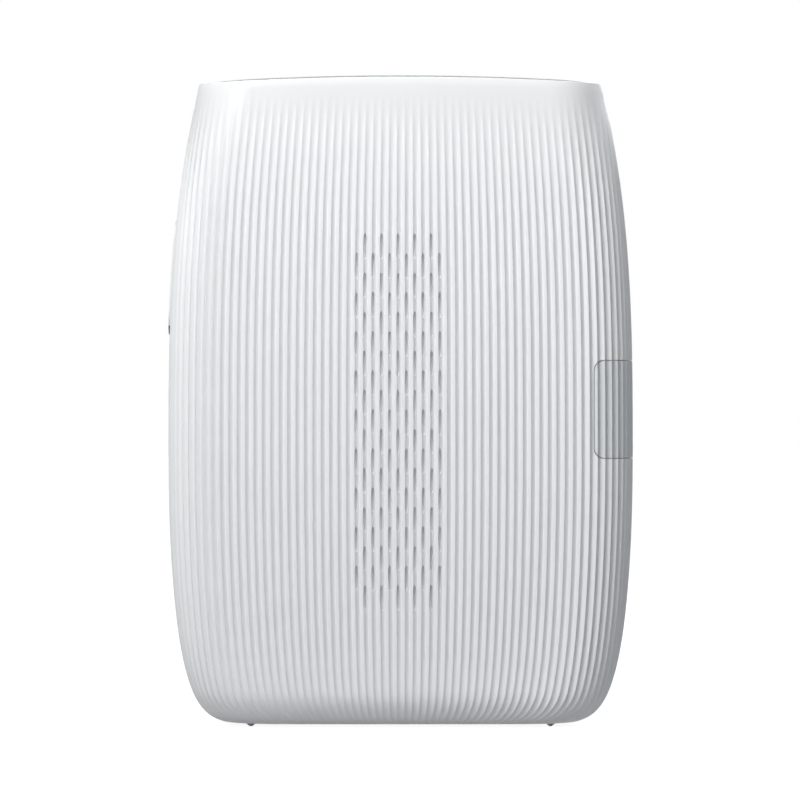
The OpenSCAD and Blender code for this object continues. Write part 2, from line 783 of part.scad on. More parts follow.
module push_button(z, d) {
    back = -panel_in - panel_t;
    at_panel() {
        rod_x([back - flange_in, -panel_in + 0.25], [0, z], d);
        rod_x([back - flange_in - flange_t, back - flange_in], [0, z], d + 0.9);
    }
}

module power_button() {
    color("lightgray") push_button(power_z, power_d);
}

module function_button() {
    color("lightgray") push_button(function_z, function_d);
}

module button_board() {
    half_w = panel_w/2 + 1;
    half_l = panel_l/2 + 0.5;
    at_panel() {
        color("darkgreen")
            box([button_board_x - board_t, button_board_x], [-half_w, half_w], [-half_l, half_l]);
        color("silver") for (z = [power_z, function_z])
            box([button_board_x, key_x], [-1.6, 1.6], [z - 1.6, z + 1.6]);
        color("white") box([button_board_x, button_board_x + 0.7], [-0.8, 0.8], [-0.5, 0.5]);
    }
}

/* ---- Film chamber ---- */

function knuckle_span(i) = [knuckle_ends[i] + knuckle_gap, knuckle_ends[i+1] - knuckle_gap];

module hinge_knuckles(first) {
    for (i = [first:2:4])
        rod_x(knuckle_span(i), [hinge_y, hinge_z], knuckle_d);
}

module tub() {
    difference() {
        box([-tub_outer, tub_outer], [tub_front, rim_y], [tub_z0 - tub_t, deck_z]);
        box([-tub_x, tub_x], [tub_y, rim_y + 1], [tub_z0, tub_z1]);
        box([-slot_w/2, slot_w/2], [film_y - film_channel/2, film_y + film_channel/2],
            [tub_z1 - 1, deck_z + 1]);
    }
}

module chassis() {
    stop_y = pinch_spring_y + spring_t;
    cut_x = [-tub_outer - 0.5, -tub_x + 0.5];
    color("dimgray") difference() {
        union() {
            tub();
            both_sides() for (z = post_zs)
                box([tub_outer - 0.1, post_x + 1.6], [tub_front, tub_y], [z - 2.4, z + 2.4]);
            for (i = [1, 3])
                box(knuckle_span(i), [rim_y - 0.2, hinge_y - 0.4], [hinge_z - knuckle_d/2, hinge_z]);
            hinge_knuckles(1);
            both_sides() for (z = board_screw_zs) rod_y([board_y, tub_front], [board_screw_x, z], 3);
            both_sides() box([pinch_spring_x, pinch_spring_x + 1.7], [stop_y, stop_y + 1.5],
                [deck_z - 0.1, deck_z + 3]);
            for (z = claw_guide_zs)
                rod_x([-tub_outer - 2.1, -tub_outer + 0.1], [claw_guide_y, z], claw_guide_d);
        }
        rod_x([-body_w/3, body_w/3], [hinge_y, hinge_z], hinge_pin_d);
        both_sides() for (z = post_zs) rod_y([tub_front - 1, tub_y + 1], [post_x, z], screw_d + 0.4);
        both_sides() for (z = board_screw_zs)
            rod_y([board_y - 1, tub_front - 0.3], [board_screw_x, z], board_screw_d);
        box(cut_x, [tub_y + 0.2, tub_y + 1.9], [claw_low + 0.7, claw_low + 3.6 + claw_travel]);
        box(cut_x, [tongue_y - 0.35, tongue_y + tongue_t + 0.35],
            [tongue_z - lock_travel - 0.4, tongue_z + stem_h + 0.8]);
    }
}

module light_seal() {
    color("black") difference() {
        box([-tub_outer, tub_outer], [rim_y, rim_y + seal_t], [tub_z0 + 1, deck_z]);
        box([-tub_x, tub_x], [rim_y - 1, rim_y + seal_t + 1], [tub_z0, tub_z1]);
    }
}

module door_hinge_pin() {
    x = [knuckle_ends[0] + knuckle_gap, knuckle_ends[5] - knuckle_gap];
    color("silver") rod_x(x, [hinge_y, hinge_z], hinge_pin_d);
}

/* ---- Film door ---- */

module window_cut(grow) {
    translate([0, 0, window_z]) along_y([0, body_d]) rounded(window_w + grow, window_h + grow, 2 + grow/2);
}

module door_skin() {
    levels = [for (i = [0:6]) door_skin_h0 - 1 + (door_h1 - door_skin_h0 + 2) * i/6];
    color("white") difference() {
        intersection() {
            skin(back_u - 23, back_u + 23, levels);
            door_block(door_skin_h0, door_h1 - gap, gap);
        }
        window_cut(0);
    }
}

module door_liner() {
    z0 = hinge_z + knuckle_d/2 + 0.8;
    lug_x = [-liner_x - 0.3, -liner_x + 0.9];
    color("dimgray") difference() {
        union() {
            box([-liner_x, liner_x], [liner_y0, liner_y1], [z0, foot_h + door_h1 - 2.6]);
            for (i = [0:2:4])
                box(knuckle_span(i), [hinge_y - knuckle_d/2, liner_y1], [hinge_z, z0 + 0.1]);
            hinge_knuckles(0);
            box(lug_x, [tongue_y - 1.8, tongue_y - 0.3], [lug_z - lug_h, lug_z]);
            box(lug_x, [tongue_y - 0.4, liner_y0 + 0.1],
                [lug_z - lug_h + 1, lug_z - lock_travel - 0.2]);
        }
        window_cut(-2.4);
        rod_x([-body_w/3, body_w/3], [hinge_y, hinge_z], hinge_pin_d + 2*run_fit);
    }
}

module door_window() {
    color("lightyellow") translate([0, 0, window_z])
        along_y([liner_y1, half_d - 0.8]) rounded(window_w - seam, window_h - seam, 2 - seam/2);
}

module pack_springs() {
    r = (spring_half_l*spring_half_l + pack_spring_bow*pack_spring_bow) / (2*pack_spring_bow);
    at = [liner_y0 - pack_spring_bow + r, window_z];
    color("silver") both_sides() intersection() {
        difference() {
            rod_x(spring_x, at, 2*r, $fn = 360);
            rod_x([spring_x[0] - 1, spring_x[1] + 1], at, 2*(r - spring_t), $fn = 360);
        }
        box([0, tub_x], [0, liner_y0], [window_z - spring_half_l, window_z + spring_half_l]);
    }
}

/* ---- Rollers, gears and motor ---- */

module plate_holes(x) {
    rod_x(x, drive_at, bush_d);
    rod_x(x, pinch_at, bush_d);
}

module left_bracket() {
    x = [-plate_x - plate_t, -plate_x];
    color("silver") difference() {
        box(x, [plate_front, plate_back], [deck_z, plate_top]);
        plate_holes([x[0] - 1, x[1] + 1]);
    }
}

module gear_plate() {
    x = [plate_x, plate_x + plate_t];
    front = motor_at[0] - motor_flat/2 - 0.3;
    low = motor_at[1] - motor_d/2 - 1;
    color("silver") difference() {
        along_x(x) polygon([[plate_back, deck_z], [plate_back, plate_top], [plate_front, plate_top],
            [front, deck_z - 2], [front, low], [tub_front, low], [tub_front, deck_z]]);
        plate_holes([x[0] - 1, x[1] + 1]);
        rod_x([x[0] - 1, x[1] + 1], motor_at, 2*motor_shaft_d);
    }
}

module bushes() {
    color("goldenrod") both_sides() for (at = [drive_at, pinch_at]) difference() {
        rod_x([roller_l/2 + 0.5, plate_x + plate_t], at, bush_d);
        rod_x([0, body_w], at, shaft_d + 2*run_fit);
    }
}

module headed_axle(x, at) {
    rod_x([plate_x + plate_t, x], at, axle_d);
    rod_x([x, x + 0.5], at, axle_d + 1);
}

module gear_axles() {
    color("silver") {
        headed_axle(gear_x1 + gear_t + 0.1, idler_at);
        headed_axle(gear_x2 + gear_t + 0.1, reduction_at);
    }
}

module roller_springs() {
    color("silver") both_sides() box([pinch_spring_x, pinch_spring_x + 1.6],
        [pinch_spring_y, pinch_spring_y + spring_t], [deck_z + 0.5, roller_z + 3]);
}

module shaft_with_ends(at) {
    color("silver") rod_x([-shaft_end, shaft_end], at, shaft_d);
}

module drive_shaft() {
    shaft_with_ends(drive_at);
}

module pinch_shaft() {
    shaft_with_ends(pinch_at);
}

module roller(at) {
    color("black") difference() {
        rod_x([-roller_l/2, roller_l/2], at, roller_d);
        rod_x([-roller_l, roller_l], at, shaft_d);
    }
}

module drive_roller() {
    roller(drive_at);
}

module pinch_roller() {
    roller(pinch_at);
}

module bored_gear(n, x, at, turn, bore) {
    difference() {
        gear(n, x, at, turn);
        rod_x([0, body_w], at, bore);
    }
}

module drive_gear() {
    color("ivory") bored_gear(roller_teeth, [gear_x1, gear_x1 + gear_t], drive_at, 0, shaft_d);
}

module pinch_gear() {
    color("ivory") bored_gear(roller_teeth, [gear_x1, gear_x1 + gear_t], pinch_at,
        mesh_turn(0, roller_teeth, 0, roller_teeth), shaft_d);
}

module idler_gear() {
    color("ivory") bored_gear(idler_teeth, [gear_x1, gear_x1 + gear_t], idler_at, idler_turn,
        axle_d + 2*run_fit);
}

module reduction_gear() {
    color("ivory") difference() {
        union() {
            gear(pinion_teeth, [gear_x1, gear_x1 + gear_t], reduction_at, reduction_turn);
            rod_x([gear_x1, gear_x2 + gear_t], reduction_at, axle_d + 1.6);
            gear(idler_teeth, [gear_x2, gear_x2 + gear_t], reduction_at, 0);
        }
        rod_x([0, body_w], reduction_at, axle_d + 2*run_fit);
    }
}

module motor_pinion() {
    color("goldenrod") gear(pinion_teeth, [gear_x2, gear_x2 + gear_t], motor_at,
        mesh_turn(motor_way, idler_teeth, 0, pinion_teeth));
    color("silver") rod_x([plate_x - 2, gear_x2 + gear_t], motor_at, motor_shaft_d);
}

module motor() {
    color("silver") difference() {
        union() {
            intersection() {
                rod_x([plate_x - motor_l, plate_x], motor_at, motor_d);
                box([0, body_w], [motor_at[0] - motor_flat/2, motor_at[0] + motor_flat/2], [0, body_h]);
            }
            rod_x([plate_x - motor_l - motor_boss_l, plate_x - motor_l + 0.1], motor_at, motor_d/3);
        }
        rod_x([plate_x - 2.2, plate_x + 1], motor_at, motor_shaft_d + 2*run_fit);
    }
}

module claw_cam() {
    x = [-gear_x1 - gear_t, -gear_x1];
    color("ivory") difference() {
        rod_x(x, [drive_at[0] - cam_off, drive_at[1]], cam_d);
        rod_x([x[0] - 1, x[1] + 1], drive_at, shaft_d);
    }
}

module film_claw() {
    x = [-tub_outer - 0.7 - claw_t, -tub_outer - 0.7];
    y = [tub_y + 0.25, tub_y + 3.6];
    color("silver") difference() {
        union() {
            box(x, y, [claw_low, roller_z - roller_d/2 - claw_travel - 0.8]);
            box([x[1] - 0.1, -tub_x + 1], [tub_y + 0.4, tub_y + 1.6], [claw_low + 1, claw_low + 3]);
        }
        for (z = claw_guide_zs) translate([0, claw_guide_y, z - claw_travel/2])
            pill(claw_travel + 2.2, claw_guide_d + 0.15, [x[0] - 1, x[1] + 1]);
    }
}

module print_head() {
    front = -half_d + wall + 1.4;
    back = tub_front - 0.2;
    color("black") {
        along_x([-plate_x + 0.6, plate_x - 0.6]) polygon([[back, head_z0], [back, head_z1],
            [drive_at[0] - 2, head_z1], [front + 2, head_z1 - 1.4], [front, head_z1 - 4], [front, head_z0]]);
        box([-slot_w/2 + 0.5, slot_w/2 - 0.5], [back, film_y - 1.7], [deck_z + 0.15, head_z1]);
    }
}

module lens_bar() {
    color("lightcyan")
        rod_x([-slot_w/2 + 1.5, slot_w/2 - 1.5], [film_y - 1.4, deck_z + 0.8], lens_d);
}

/* ---- Electronics ---- */

module main_board() {
    color("darkgreen") difference() {
        union() {
            box([-board_x, board_x], [board_front, board_y], [foot_h + board_h0, foot_h + board_h1]);
            box([board_x - 1, tray_x - 3.5], [board_front, board_y], [usb_z - 7.5, usb_z + 7.5]);
        }
        both_sides() for (z = board_screw_zs)
            rod_y([board_front - 1, board_y + 1], [board_screw_x, z], board_screw_d + 0.4);
    }
}

module board_chips() {
    color("black") for (c = chips)
        box([c[0] - c[2]/2, c[0] + c[2]/2], [board_front - c[4], board_front],
            [foot_h + c[1] - c[3]/2, foot_h + c[1] + c[3]/2]);
    color("ivory") box([flex_x - plug_w/2, flex_x + plug_w/2], [board_front - plug_t, board_front],
        [plug_z, plug_z + plug_l]);
}

module shield_can() {
    x = board_screw_x;
    z = foot_h + board_h0 + can_up;
    color("silver") box([x - can_w, x], [board_front - can_t, board_front], [z, z + can_h]);
}

module battery() {
    y1 = board_front - can_t - 0.5;
    color("gray") translate([battery_x, 0, foot_h + board_h0 + battery_up])
        along_y([y1 - battery_t, y1]) rounded(battery_w, battery_h, 2);
}

module head_flex() {
    y = board_front - plug_t;
    x = [flex_x - flex_w/2, flex_x + flex_w/2];
    color("orange") box(x, [y - flex_t, y], [plug_z, head_z0]);
}

module screw(y, at, d, l) {
    rod_y([y - l, y], at, d);
    rod_y([y, y + 1.1], at, head_d*d/screw_d);
}

module screws() {
    color("dimgray") both_sides() {
        for (z = post_zs) screw(tub_y, [post_x, z], screw_d, screw_l);
        for (z = board_screw_zs) mirror([0, 1, 0])
            screw(-board_front, [board_screw_x, z], board_screw_d, board_t + 1.6);
    }
}

module door_switch() {
    color("black") difference() {
        box([switch_x - 4, switch_x + 4], [rim_y - 6, rim_y - 1.4], [deck_z, deck_z + switch_h]);
        rod_y([rim_y - 4, rim_y], [switch_x, switch_z], plunger_d + 2*run_fit);
    }
}

module switch_plunger() {
    color("white") rod_y([rim_y - 2.8, rim_y + 0.5], [switch_x, switch_z], plunger_d);
}

front_shell();
rear_shell();
top_bezel();
exit_chute();
slot_felts();
feet();
lock_track();
control_panel();
status_light();
port_tray();
port_hinge_pin();
usb_socket();
charge_light();
chassis();
light_seal();
door_hinge_pin();
left_bracket();
gear_plate();
bushes();
gear_axles();
roller_springs();
print_head();
lens_bar();
motor();
main_board();
board_chips();
shield_can();
battery();
button_board();
head_flex();
screws();
door_switch();
door_skin();
door_liner();
door_window();
pack_springs();
lock_slider();
lock_bar();
port_cover();
power_button();
function_button();
reset_button();
drive_shaft();
drive_roller();
drive_gear();
claw_cam();
pinch_shaft();
pinch_roller();
pinch_gear();
idler_gear();
reduction_gear();
motor_pinion();
film_claw();
switch_plunger();
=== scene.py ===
import json
import math

import bmesh
import bpy
from mathutils import Matrix, Vector

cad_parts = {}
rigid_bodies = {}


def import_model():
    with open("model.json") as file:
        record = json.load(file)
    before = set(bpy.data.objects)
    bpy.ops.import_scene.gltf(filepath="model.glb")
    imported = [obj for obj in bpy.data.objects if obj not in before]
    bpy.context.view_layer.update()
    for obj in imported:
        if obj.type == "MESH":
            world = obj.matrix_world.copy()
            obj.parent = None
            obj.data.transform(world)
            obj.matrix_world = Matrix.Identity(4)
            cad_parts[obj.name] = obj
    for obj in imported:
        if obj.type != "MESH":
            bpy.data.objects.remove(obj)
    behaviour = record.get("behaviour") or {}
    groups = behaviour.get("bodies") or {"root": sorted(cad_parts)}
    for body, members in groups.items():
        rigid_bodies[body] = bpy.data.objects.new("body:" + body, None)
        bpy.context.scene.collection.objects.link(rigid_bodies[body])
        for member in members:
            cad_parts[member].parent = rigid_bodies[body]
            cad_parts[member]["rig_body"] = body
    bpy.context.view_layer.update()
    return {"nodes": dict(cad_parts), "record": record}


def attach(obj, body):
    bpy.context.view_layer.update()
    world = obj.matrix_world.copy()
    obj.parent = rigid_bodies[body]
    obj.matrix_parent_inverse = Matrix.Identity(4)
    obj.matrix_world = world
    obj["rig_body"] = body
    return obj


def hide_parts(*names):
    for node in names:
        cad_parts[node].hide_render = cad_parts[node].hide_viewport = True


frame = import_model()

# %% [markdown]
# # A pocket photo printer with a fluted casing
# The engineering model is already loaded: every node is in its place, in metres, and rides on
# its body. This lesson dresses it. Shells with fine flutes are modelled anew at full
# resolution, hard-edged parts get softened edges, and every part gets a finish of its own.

MM = 0.001
nodes = frame["nodes"]
body_of = {n: o["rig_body"] for n, o in nodes.items()}
print("parts from the engineering model:", len(nodes))

# %% [markdown]
# ## The form of the casing
# The casing is a soft barrel: widest a little below the middle, drawn in towards the top, and
# rounded into its sole. It could be sculpted, but the shells, the door and the corner cover
# all share this skin, so it is worth having as one function. A place on the skin has two
# numbers: the flute that it is on, counted from the middle of the front, and its height.

# %% The skin as a function of flute and height, in millimetres
BODY_W, BODY_H, BODY_D = 90.0, 125.0, 37.3
HALF_D = BODY_D / 2
FOOT_H = 0.6
WALL = 2.0
WIDEST_H = 52.0
TOP_DRAW = 6.05
TOP_RISE = 1.3
ARCH_H = 15.0
CORNER_R = 11.0
CORNER_FLAT = 0.1
FACE_BOW = 0.6
SOLE_R = 6.5
SOLE_REACH = 0.7
HIGH_POWER = 2.95
LOW_POWER = 1 / 13
FLUTES = 146


def arch_share(h):
    """How much of the top edge's arch there is at height h."""
    return max(0.0, (h - BODY_H + ARCH_H) / ARCH_H)


def side_at(h):
    """Half the width of the casing at height h."""
    g = h - TOP_RISE * arch_share(h)
    if g > WIDEST_H:
        share = (g - WIDEST_H) / (BODY_H - TOP_RISE - WIDEST_H)
        return BODY_W / 2 - TOP_DRAW * share ** HIGH_POWER
    share = (WIDEST_H - g) / (WIDEST_H + SOLE_REACH)
    return BODY_W / 2 * (1 - share ** 2) ** LOW_POWER


def depth_at(h):
    """Half the depth of the casing at height h."""
    if h >= SOLE_R:
        return HALF_D
    return HALF_D - SOLE_R + math.sqrt(SOLE_R**2 - (SOLE_R - h) ** 2)


def plan_at(h):
    """Half the width, half the depth, the corner radius and a quarter of the way around."""
    a, d = side_at(h), depth_at(h)
    r = min(CORNER_R, d - CORNER_FLAT)
    return a, d, r, a - r + math.pi / 2 * r + d - r


def rim(u, h):
    """Place and outward direction at flute u: x, y, nx, ny."""
    a, d, r, quarter = plan_at(h)
    f = (u % FLUTES) * 4 / FLUTES
    k = int(f)
    part = f - k
    t = (part if k % 2 == 0 else 1 - part) * quarter
    if t < a - r:
        x, y, q = t, -d, 0.0
    elif t < a - r + math.pi / 2 * r:
        q = (t - a + r) / r
        x, y = a - r + r * math.sin(q), -(d - r) - r * math.cos(q)
    else:
        x, y, q = a, t - quarter, math.pi / 2
    sx = 1 if k < 2 else -1
    sy = 1 if k in (0, 3) else -1
    return sx * x, sy * y, sx * math.sin(q), -sy * math.cos(q)


def skin_point(u, h, z, depth):
    """A point under the skin by depth, at flute u, standing at height z, in metres."""
    x, y, nx, ny = rim(u, h)
    x, y = x - nx * depth, y - ny * depth
    y *= 1 - FACE_BOW / depth_at(h) * (x / side_at(h)) ** 2
    z = FOOT_H + z - TOP_RISE * arch_share(h) * (x / (BODY_W / 2 - TOP_DRAW)) ** 2
    return Vector((x, y, z)) * MM


def flute_pitch(h):
    return plan_at(h)[3] * 4 / FLUTES


print("flutes are", round(flute_pitch(WIDEST_H), 2), "mm wide at the widest level")

# %% [markdown]
# ## The profile of a flute
# Each flute is a shallow hollow, and two hollows meet in a narrow rounded ridge. A sine wave
# would look like cloth; a circular hollow with a tight ridge gives the slow brightening and
# the quick drop of a machined mould. The flutes fade out towards the top edge and the sole.

# %% How deep the skin dips at each place
FLUTE_DEPTH = 0.52
RIDGE = 0.18
FLUTE_STEPS = (0, 0.2, 0.34, 0.44, 0.5, 0.56, 0.66, 0.8, 1)
FADE_SOLE, FADE_SOLE_POWER = 19.0, 0.36
FADE_TOP, FADE_TOP_END, FADE_TOP_POWER = 28.0, 4.0, 1.16


def fade(h):
    """How much of its depth a flute still has at height h."""
    low = min(1.0, h / FADE_SOLE) ** FADE_SOLE_POWER
    climb = (h - BODY_H + FADE_TOP) / (FADE_TOP - FADE_TOP_END)
    return low * (1 - min(1.0, max(0.0, climb)) ** FADE_TOP_POWER)


def flute_dip(u, h):
    """How far the skin at flute u and height h lies under the smooth form."""
    s = abs(u - round(u)) * 2
    if s > 1 - RIDGE:
        dip = (1 - RIDGE) / RIDGE * (1 - s) ** 2
    else:
        dip = 1 - s * s - RIDGE
    return FLUTE_DEPTH * fade(h) * dip / (1 - RIDGE)


print("dip in a valley:", round(flute_dip(0, WIDEST_H), 3), "mm, on a ridge:",
      round(flute_dip(0.5, WIDEST_H), 3), "mm")

# %% [markdown]
# ## From a flat sheet to a moulded shell
# A flat grid is easy to handle: one column for each flute and one row for each level. Solidify
# gives it a back, and only the front's short edges are subdivided, so the hollow side stays
# light. Then one pass wraps every vertex around the form. This keeps each shell a single
# closed wall with an even flow of faces.

# %% Levels, and the rim near the corners
DOOR_H0 = 8.0
RIM_DROP = 0.35
LIFT_H, LIFT_POWER = 4.0, 10


def levels_between(h0, h1, step):
    n = max(2, round((h1 - h0) / step))
    return [h0 + (h1 - h0) * i / n for i in range(n + 1)]


def inner_height(h):
    """A shell's level on its hollow side, which ends on the floor of the shell."""
    return WALL + h * (DOOR_H0 - WALL) / DOOR_H0 if h < DOOR_H0 else h


def rim_lift(u, h):
    """How far a shell's rim rises near the corners, where it closes over the painted-shade ring."""
    share = max(0.0, (h - BODY_H + LIFT_H) / (LIFT_H - RIM_DROP))
    return RIM_DROP * share * (rim(u, h)[0] / side_at(h)) ** LIFT_POWER


# %% Two building steps that return often
def rounded(bm, edges, offset, segments=2, clamp=False):
    bmesh.ops.bevel(bm, geom=edges, offset=offset, segments=segments, profile=0.5,
                    affect="EDGES", material=-1, clamp_overlap=clamp)


def outwards(bm):
    bmesh.ops.recalc_face_normals(bm, faces=bm.faces[:])
    return bm


# %% Build a fluted wall between two flutes
TINY = 1e-4
RIM_BEVEL = 0.18


def close_sole(bm, place, columns):
    """Opens the lowest edge and closes the outer and the hollow side by a floor each."""
    under = [f for f in bm.faces if all(place[v][1] == 0 for v in f.verts)]
    bmesh.ops.delete(bm, geom=under, context="FACES")
    loops = {True: [], False: []}
    for e in bm.edges:
        one, other = [place[v] for v in e.verts]
        if one[1] == 0 == other[1] and one[2] == other[2] and e.is_boundary:
            loops[one[2]].append(e)
    ends = {(round(p[0]), p[2]): v for v, p in place.items()
            if p[1] == 0 and (p[0] < TINY or p[0] > columns - TINY)}
    closing = {side: bm.edges.new((ends[0, side], ends[columns, side])) for side in loops}
    for side, loop in loops.items():
        bmesh.ops.contextual_create(bm, geom=loop + [closing[side]])
    steps = [bm.edges.get((ends[c, True], ends[c, False])) for c in (0, columns)]
    bmesh.ops.contextual_create(bm, geom=[closing[True], closing[False], *steps])


def fluted_wall(u0, u1, levels, thick=WALL, shell=False, inset=0.0):
    """A closed wall from flute u0 to u1. A shell also has a sole, and a bevelled rim."""
    columns, rows = u1 - u0, len(levels) - 1
    bm = bmesh.new()
    bmesh.ops.create_grid(bm, x_segments=columns, y_segments=rows, size=1)
    bmesh.ops.solidify(bm, geom=bm.faces[:], thickness=1)
    middle = (max(v.co.z for v in bm.verts) + min(v.co.z for v in bm.verts)) / 2
    across = [e for e in bm.edges if all(v.co.z > middle for v in e.verts)
              and abs(e.verts[0].co.y - e.verts[1].co.y) < TINY]
    bmesh.ops.subdivide_edges(bm, edges=across, cuts=len(FLUTE_STEPS) - 2, use_grid_fill=True)
    place = {v: ((v.co.x + 1) / 2 * columns, round((v.co.y + 1) / 2 * rows), v.co.z > middle)
             for v in bm.verts}
    if shell:
        close_sole(bm, place, columns)
    top_edges = [e for e in bm.edges if all(place[v][1] == rows and place[v][2] for v in e.verts)]
    for v in bm.verts:
        c, row, is_outer = place[v]
        h = levels[row]
        k = min(int(c + TINY), columns - 1)
        step = round((c - k) * (len(FLUTE_STEPS) - 1))
        shift = inset / flute_pitch(h)
        u = min(max(u0 + k + FLUTE_STEPS[step], u0 + shift), u1 - shift)
        if is_outer:
            v.co = skin_point(u, h, h + rim_lift(u, h), flute_dip(u, h))
        else:
            v.co = skin_point(u, h, inner_height(h) + rim_lift(u, h) if shell else h, thick)
    outwards(bm)
    if shell:
        rounded(bm, top_edges, RIM_BEVEL * MM)
    return bm


# %% Make an object of a bmesh, and measure it
def to_object(bm, name):
    mesh = bpy.data.meshes.new(name)
    bm.to_mesh(mesh)
    bm.free()
    obj = bpy.data.objects.new(name, mesh)
    bpy.context.scene.collection.objects.link(obj)
    return obj


def loose_edges(bm):
    """How many edges don't join exactly two faces."""
    return sum(1 for e in bm.edges if len(e.link_faces) != 2)


def measure(obj):
    bm = bmesh.new()
    bm.from_mesh(obj.data)
    triangles = sum(len(f.verts) - 2 for f in bm.faces)
    loose = loose_edges(bm)
    volume = bm.calc_volume() / MM**3
    bm.free()
    return f"{obj.name}: {triangles} triangles, {loose} open edges, {volume:.1f} mm3"


# %% [markdown]
# ## Cutting openings
# A mould has inserts where the openings are. The same idea works here: a block in the shape of
# each opening is subtracted. The blocks are cubes with four of their edges bevelled round. A
# boolean leaves crisp edges, as on the real shut lines.

# %% Blocks and rods for openings
UPRIGHT = Matrix.Rotation(math.pi / 2, 4, "X")


def moved(bm, by):
    bmesh.ops.translate(bm, vec=by, verts=bm.verts)
    return bm


def scaled(bm, by):
    bmesh.ops.scale(bm, vec=by, verts=bm.verts)
    return bm


def in_metres(bm):
    return scaled(bm, (MM, MM, MM))


def placed(bm, matrix):
    """Moves and turns the whole bmesh, and keeps its faces outwards in a mirrored place."""
    bmesh.ops.transform(bm, matrix=matrix, verts=bm.verts)
    if matrix.determinant() < 0:
        bmesh.ops.reverse_faces(bm, faces=bm.faces[:])
    return bm


def rounded_block(x, y, z, radius=0.0, axis="y"):
    """A block between pairs of millimetres, with the edges along one axis rounded."""
    bm = bmesh.new()
    bmesh.ops.create_cube(bm, size=1)
    scaled(bm, (x[1] - x[0], y[1] - y[0], z[1] - z[0]))
    moved(bm, Vector((x[0] + x[1], y[0] + y[1], z[0] + z[1])) / 2)
    if radius:
        i = "xyz".index(axis)
        along = [e for e in bm.edges if abs(e.verts[0].co[i] - e.verts[1].co[i]) > TINY]
        rounded(bm, along, radius, segments=10)
    return in_metres(bm)


def rod(axis, ends, at, diameter, segments=24):
    """A round bar along y or z, between two places, at the two other coordinates."""
    bm = bmesh.new()
    bmesh.ops.create_cone(bm, cap_ends=True, segments=segments, radius1=diameter / 2,
                          radius2=diameter / 2, depth=ends[1] - ends[0])
    moved(bm, (0, 0, (ends[0] + ends[1]) / 2))
    if axis == "y":
        turn = Matrix(((0, 1, 0), (0, 0, 1), (1, 0, 0)))
        moved(placed(bm, turn.to_4x4()), (at[0], 0, at[1]))
    else:
        moved(bm, (at[0], at[1], 0))
    return in_metres(bm)


def merged(parts):
    whole = bmesh.new()
    for part in parts:
        mesh = bpy.data.meshes.new("part")
        part.to_mesh(mesh)
        part.free()
        whole.from_mesh(mesh)
        bpy.data.meshes.remove(mesh)
    return whole


# %% Cut an object, and shade it
def combine(obj, tools, operation="DIFFERENCE"):
    """Cuts each tool out of obj, joins it on, or keeps only what lies inside it."""
    for tool in tools:
        cutter = to_object(tool, "cutter")
        step = obj.modifiers.new("cut", "BOOLEAN")
        step.operation = operation
        step.solver = "MANIFOLD"
        step.object = cutter
        graph = bpy.context.evaluated_depsgraph_get()
        result = bpy.data.meshes.new_from_object(obj.evaluated_get(graph))
        obj.modifiers.clear()
        old = obj.data
        obj.data = result
        bpy.data.meshes.remove(old)
        bpy.data.objects.remove(cutter)
    return obj


def shade(obj, angle=32):
    """Smooth faces, with a crease wherever two faces meet at more than the angle."""
    obj.data.polygons.foreach_set("use_smooth", [True] * len(obj.data.polygons))
    obj.data.set_sharp_from_angle(angle=math.radians(angle))
    return obj


# %% [markdown]
# ## The front shell
# The front shell wraps around to just behind the middle of each side and carries half of the
# sole. It has openings for the corner cover, the door lock, the control panel and the feet.

# %% Places of what sits in the front shell
LOCK_H, LOCK_L, LOCK_W = 86.5, 22.3, 8.0
PANEL_H, PANEL_L, PANEL_W, PANEL_R = 33.4, 20.0, 8.0, 1.5
COVER_X, COVER_Y, COVER_R = 37.1, 2.6, 2.0
COVER_Z = (51.9, 70.9)
FEET = [(x, y) for x in (-29.0, 29.0) for y in (-8.0, 8.0)]
FOOT_D = 2.0


def leaning(h, length):
    """The lean of a side at height h, over a length."""
    return math.atan((side_at(h - length / 2) - side_at(h + length / 2)) / length)


def side_frame(side, h, length):
    """The frame of a piece on the left or the right side, with its x axis outwards."""
    return (Matrix.Translation(Vector((side * side_at(h), 0, FOOT_H + h)) * MM)
            @ Matrix.Rotation(-side * leaning(h, length), 4, "Y")
            @ Matrix.Diagonal((side, 1, 1, 1)))


lock_frame = side_frame(-1, LOCK_H, LOCK_L)
panel_frame = side_frame(1, PANEL_H, PANEL_L)
print("the lock leans by", round(math.degrees(leaning(LOCK_H, LOCK_L)), 1), "degrees")

# %% The front shell's wall
SEAM_U, SEAM = 40, 0.1
SOLE_ROWS, SOLE_EASE = 14, 1.8
MIDDLE_STEP = 2.2
UPPER_ROWS, UPPER_EASE = 36, 0.9
UPPER_H = BODY_H - RIM_DROP - WIDEST_H
shell_levels = [DOOR_H0 * (i / SOLE_ROWS) ** SOLE_EASE for i in range(SOLE_ROWS)]
shell_levels += levels_between(DOOR_H0, WIDEST_H, MIDDLE_STEP)[:-1]
shell_levels += [WIDEST_H + UPPER_H * (i / UPPER_ROWS) ** UPPER_EASE for i in range(UPPER_ROWS + 1)]
front_shell = to_object(fluted_wall(-SEAM_U, SEAM_U, shell_levels, shell=True), "front_shell_fluted")
print(measure(front_shell))

# %% Openings of the front shell
OVERCUT = 1.0
OPENING_X = (-6, 3)
LOCK_R = LOCK_W / 2 + SEAM - 0.01


def side_opening(width, length, radius, on_side):
    """A block through the side wall, wider all around than its piece by the seam."""
    half_w, half_l = width / 2 + SEAM, length / 2 + SEAM
    block = rounded_block(OPENING_X, (-half_w, half_w), (-half_l, half_l), radius, "x")
    return placed(block, on_side)


def foot_holes():
    return merged([rod("z", (FOOT_H - OVERCUT, FOOT_H + WALL / 2), at, FOOT_D) for at in FEET])


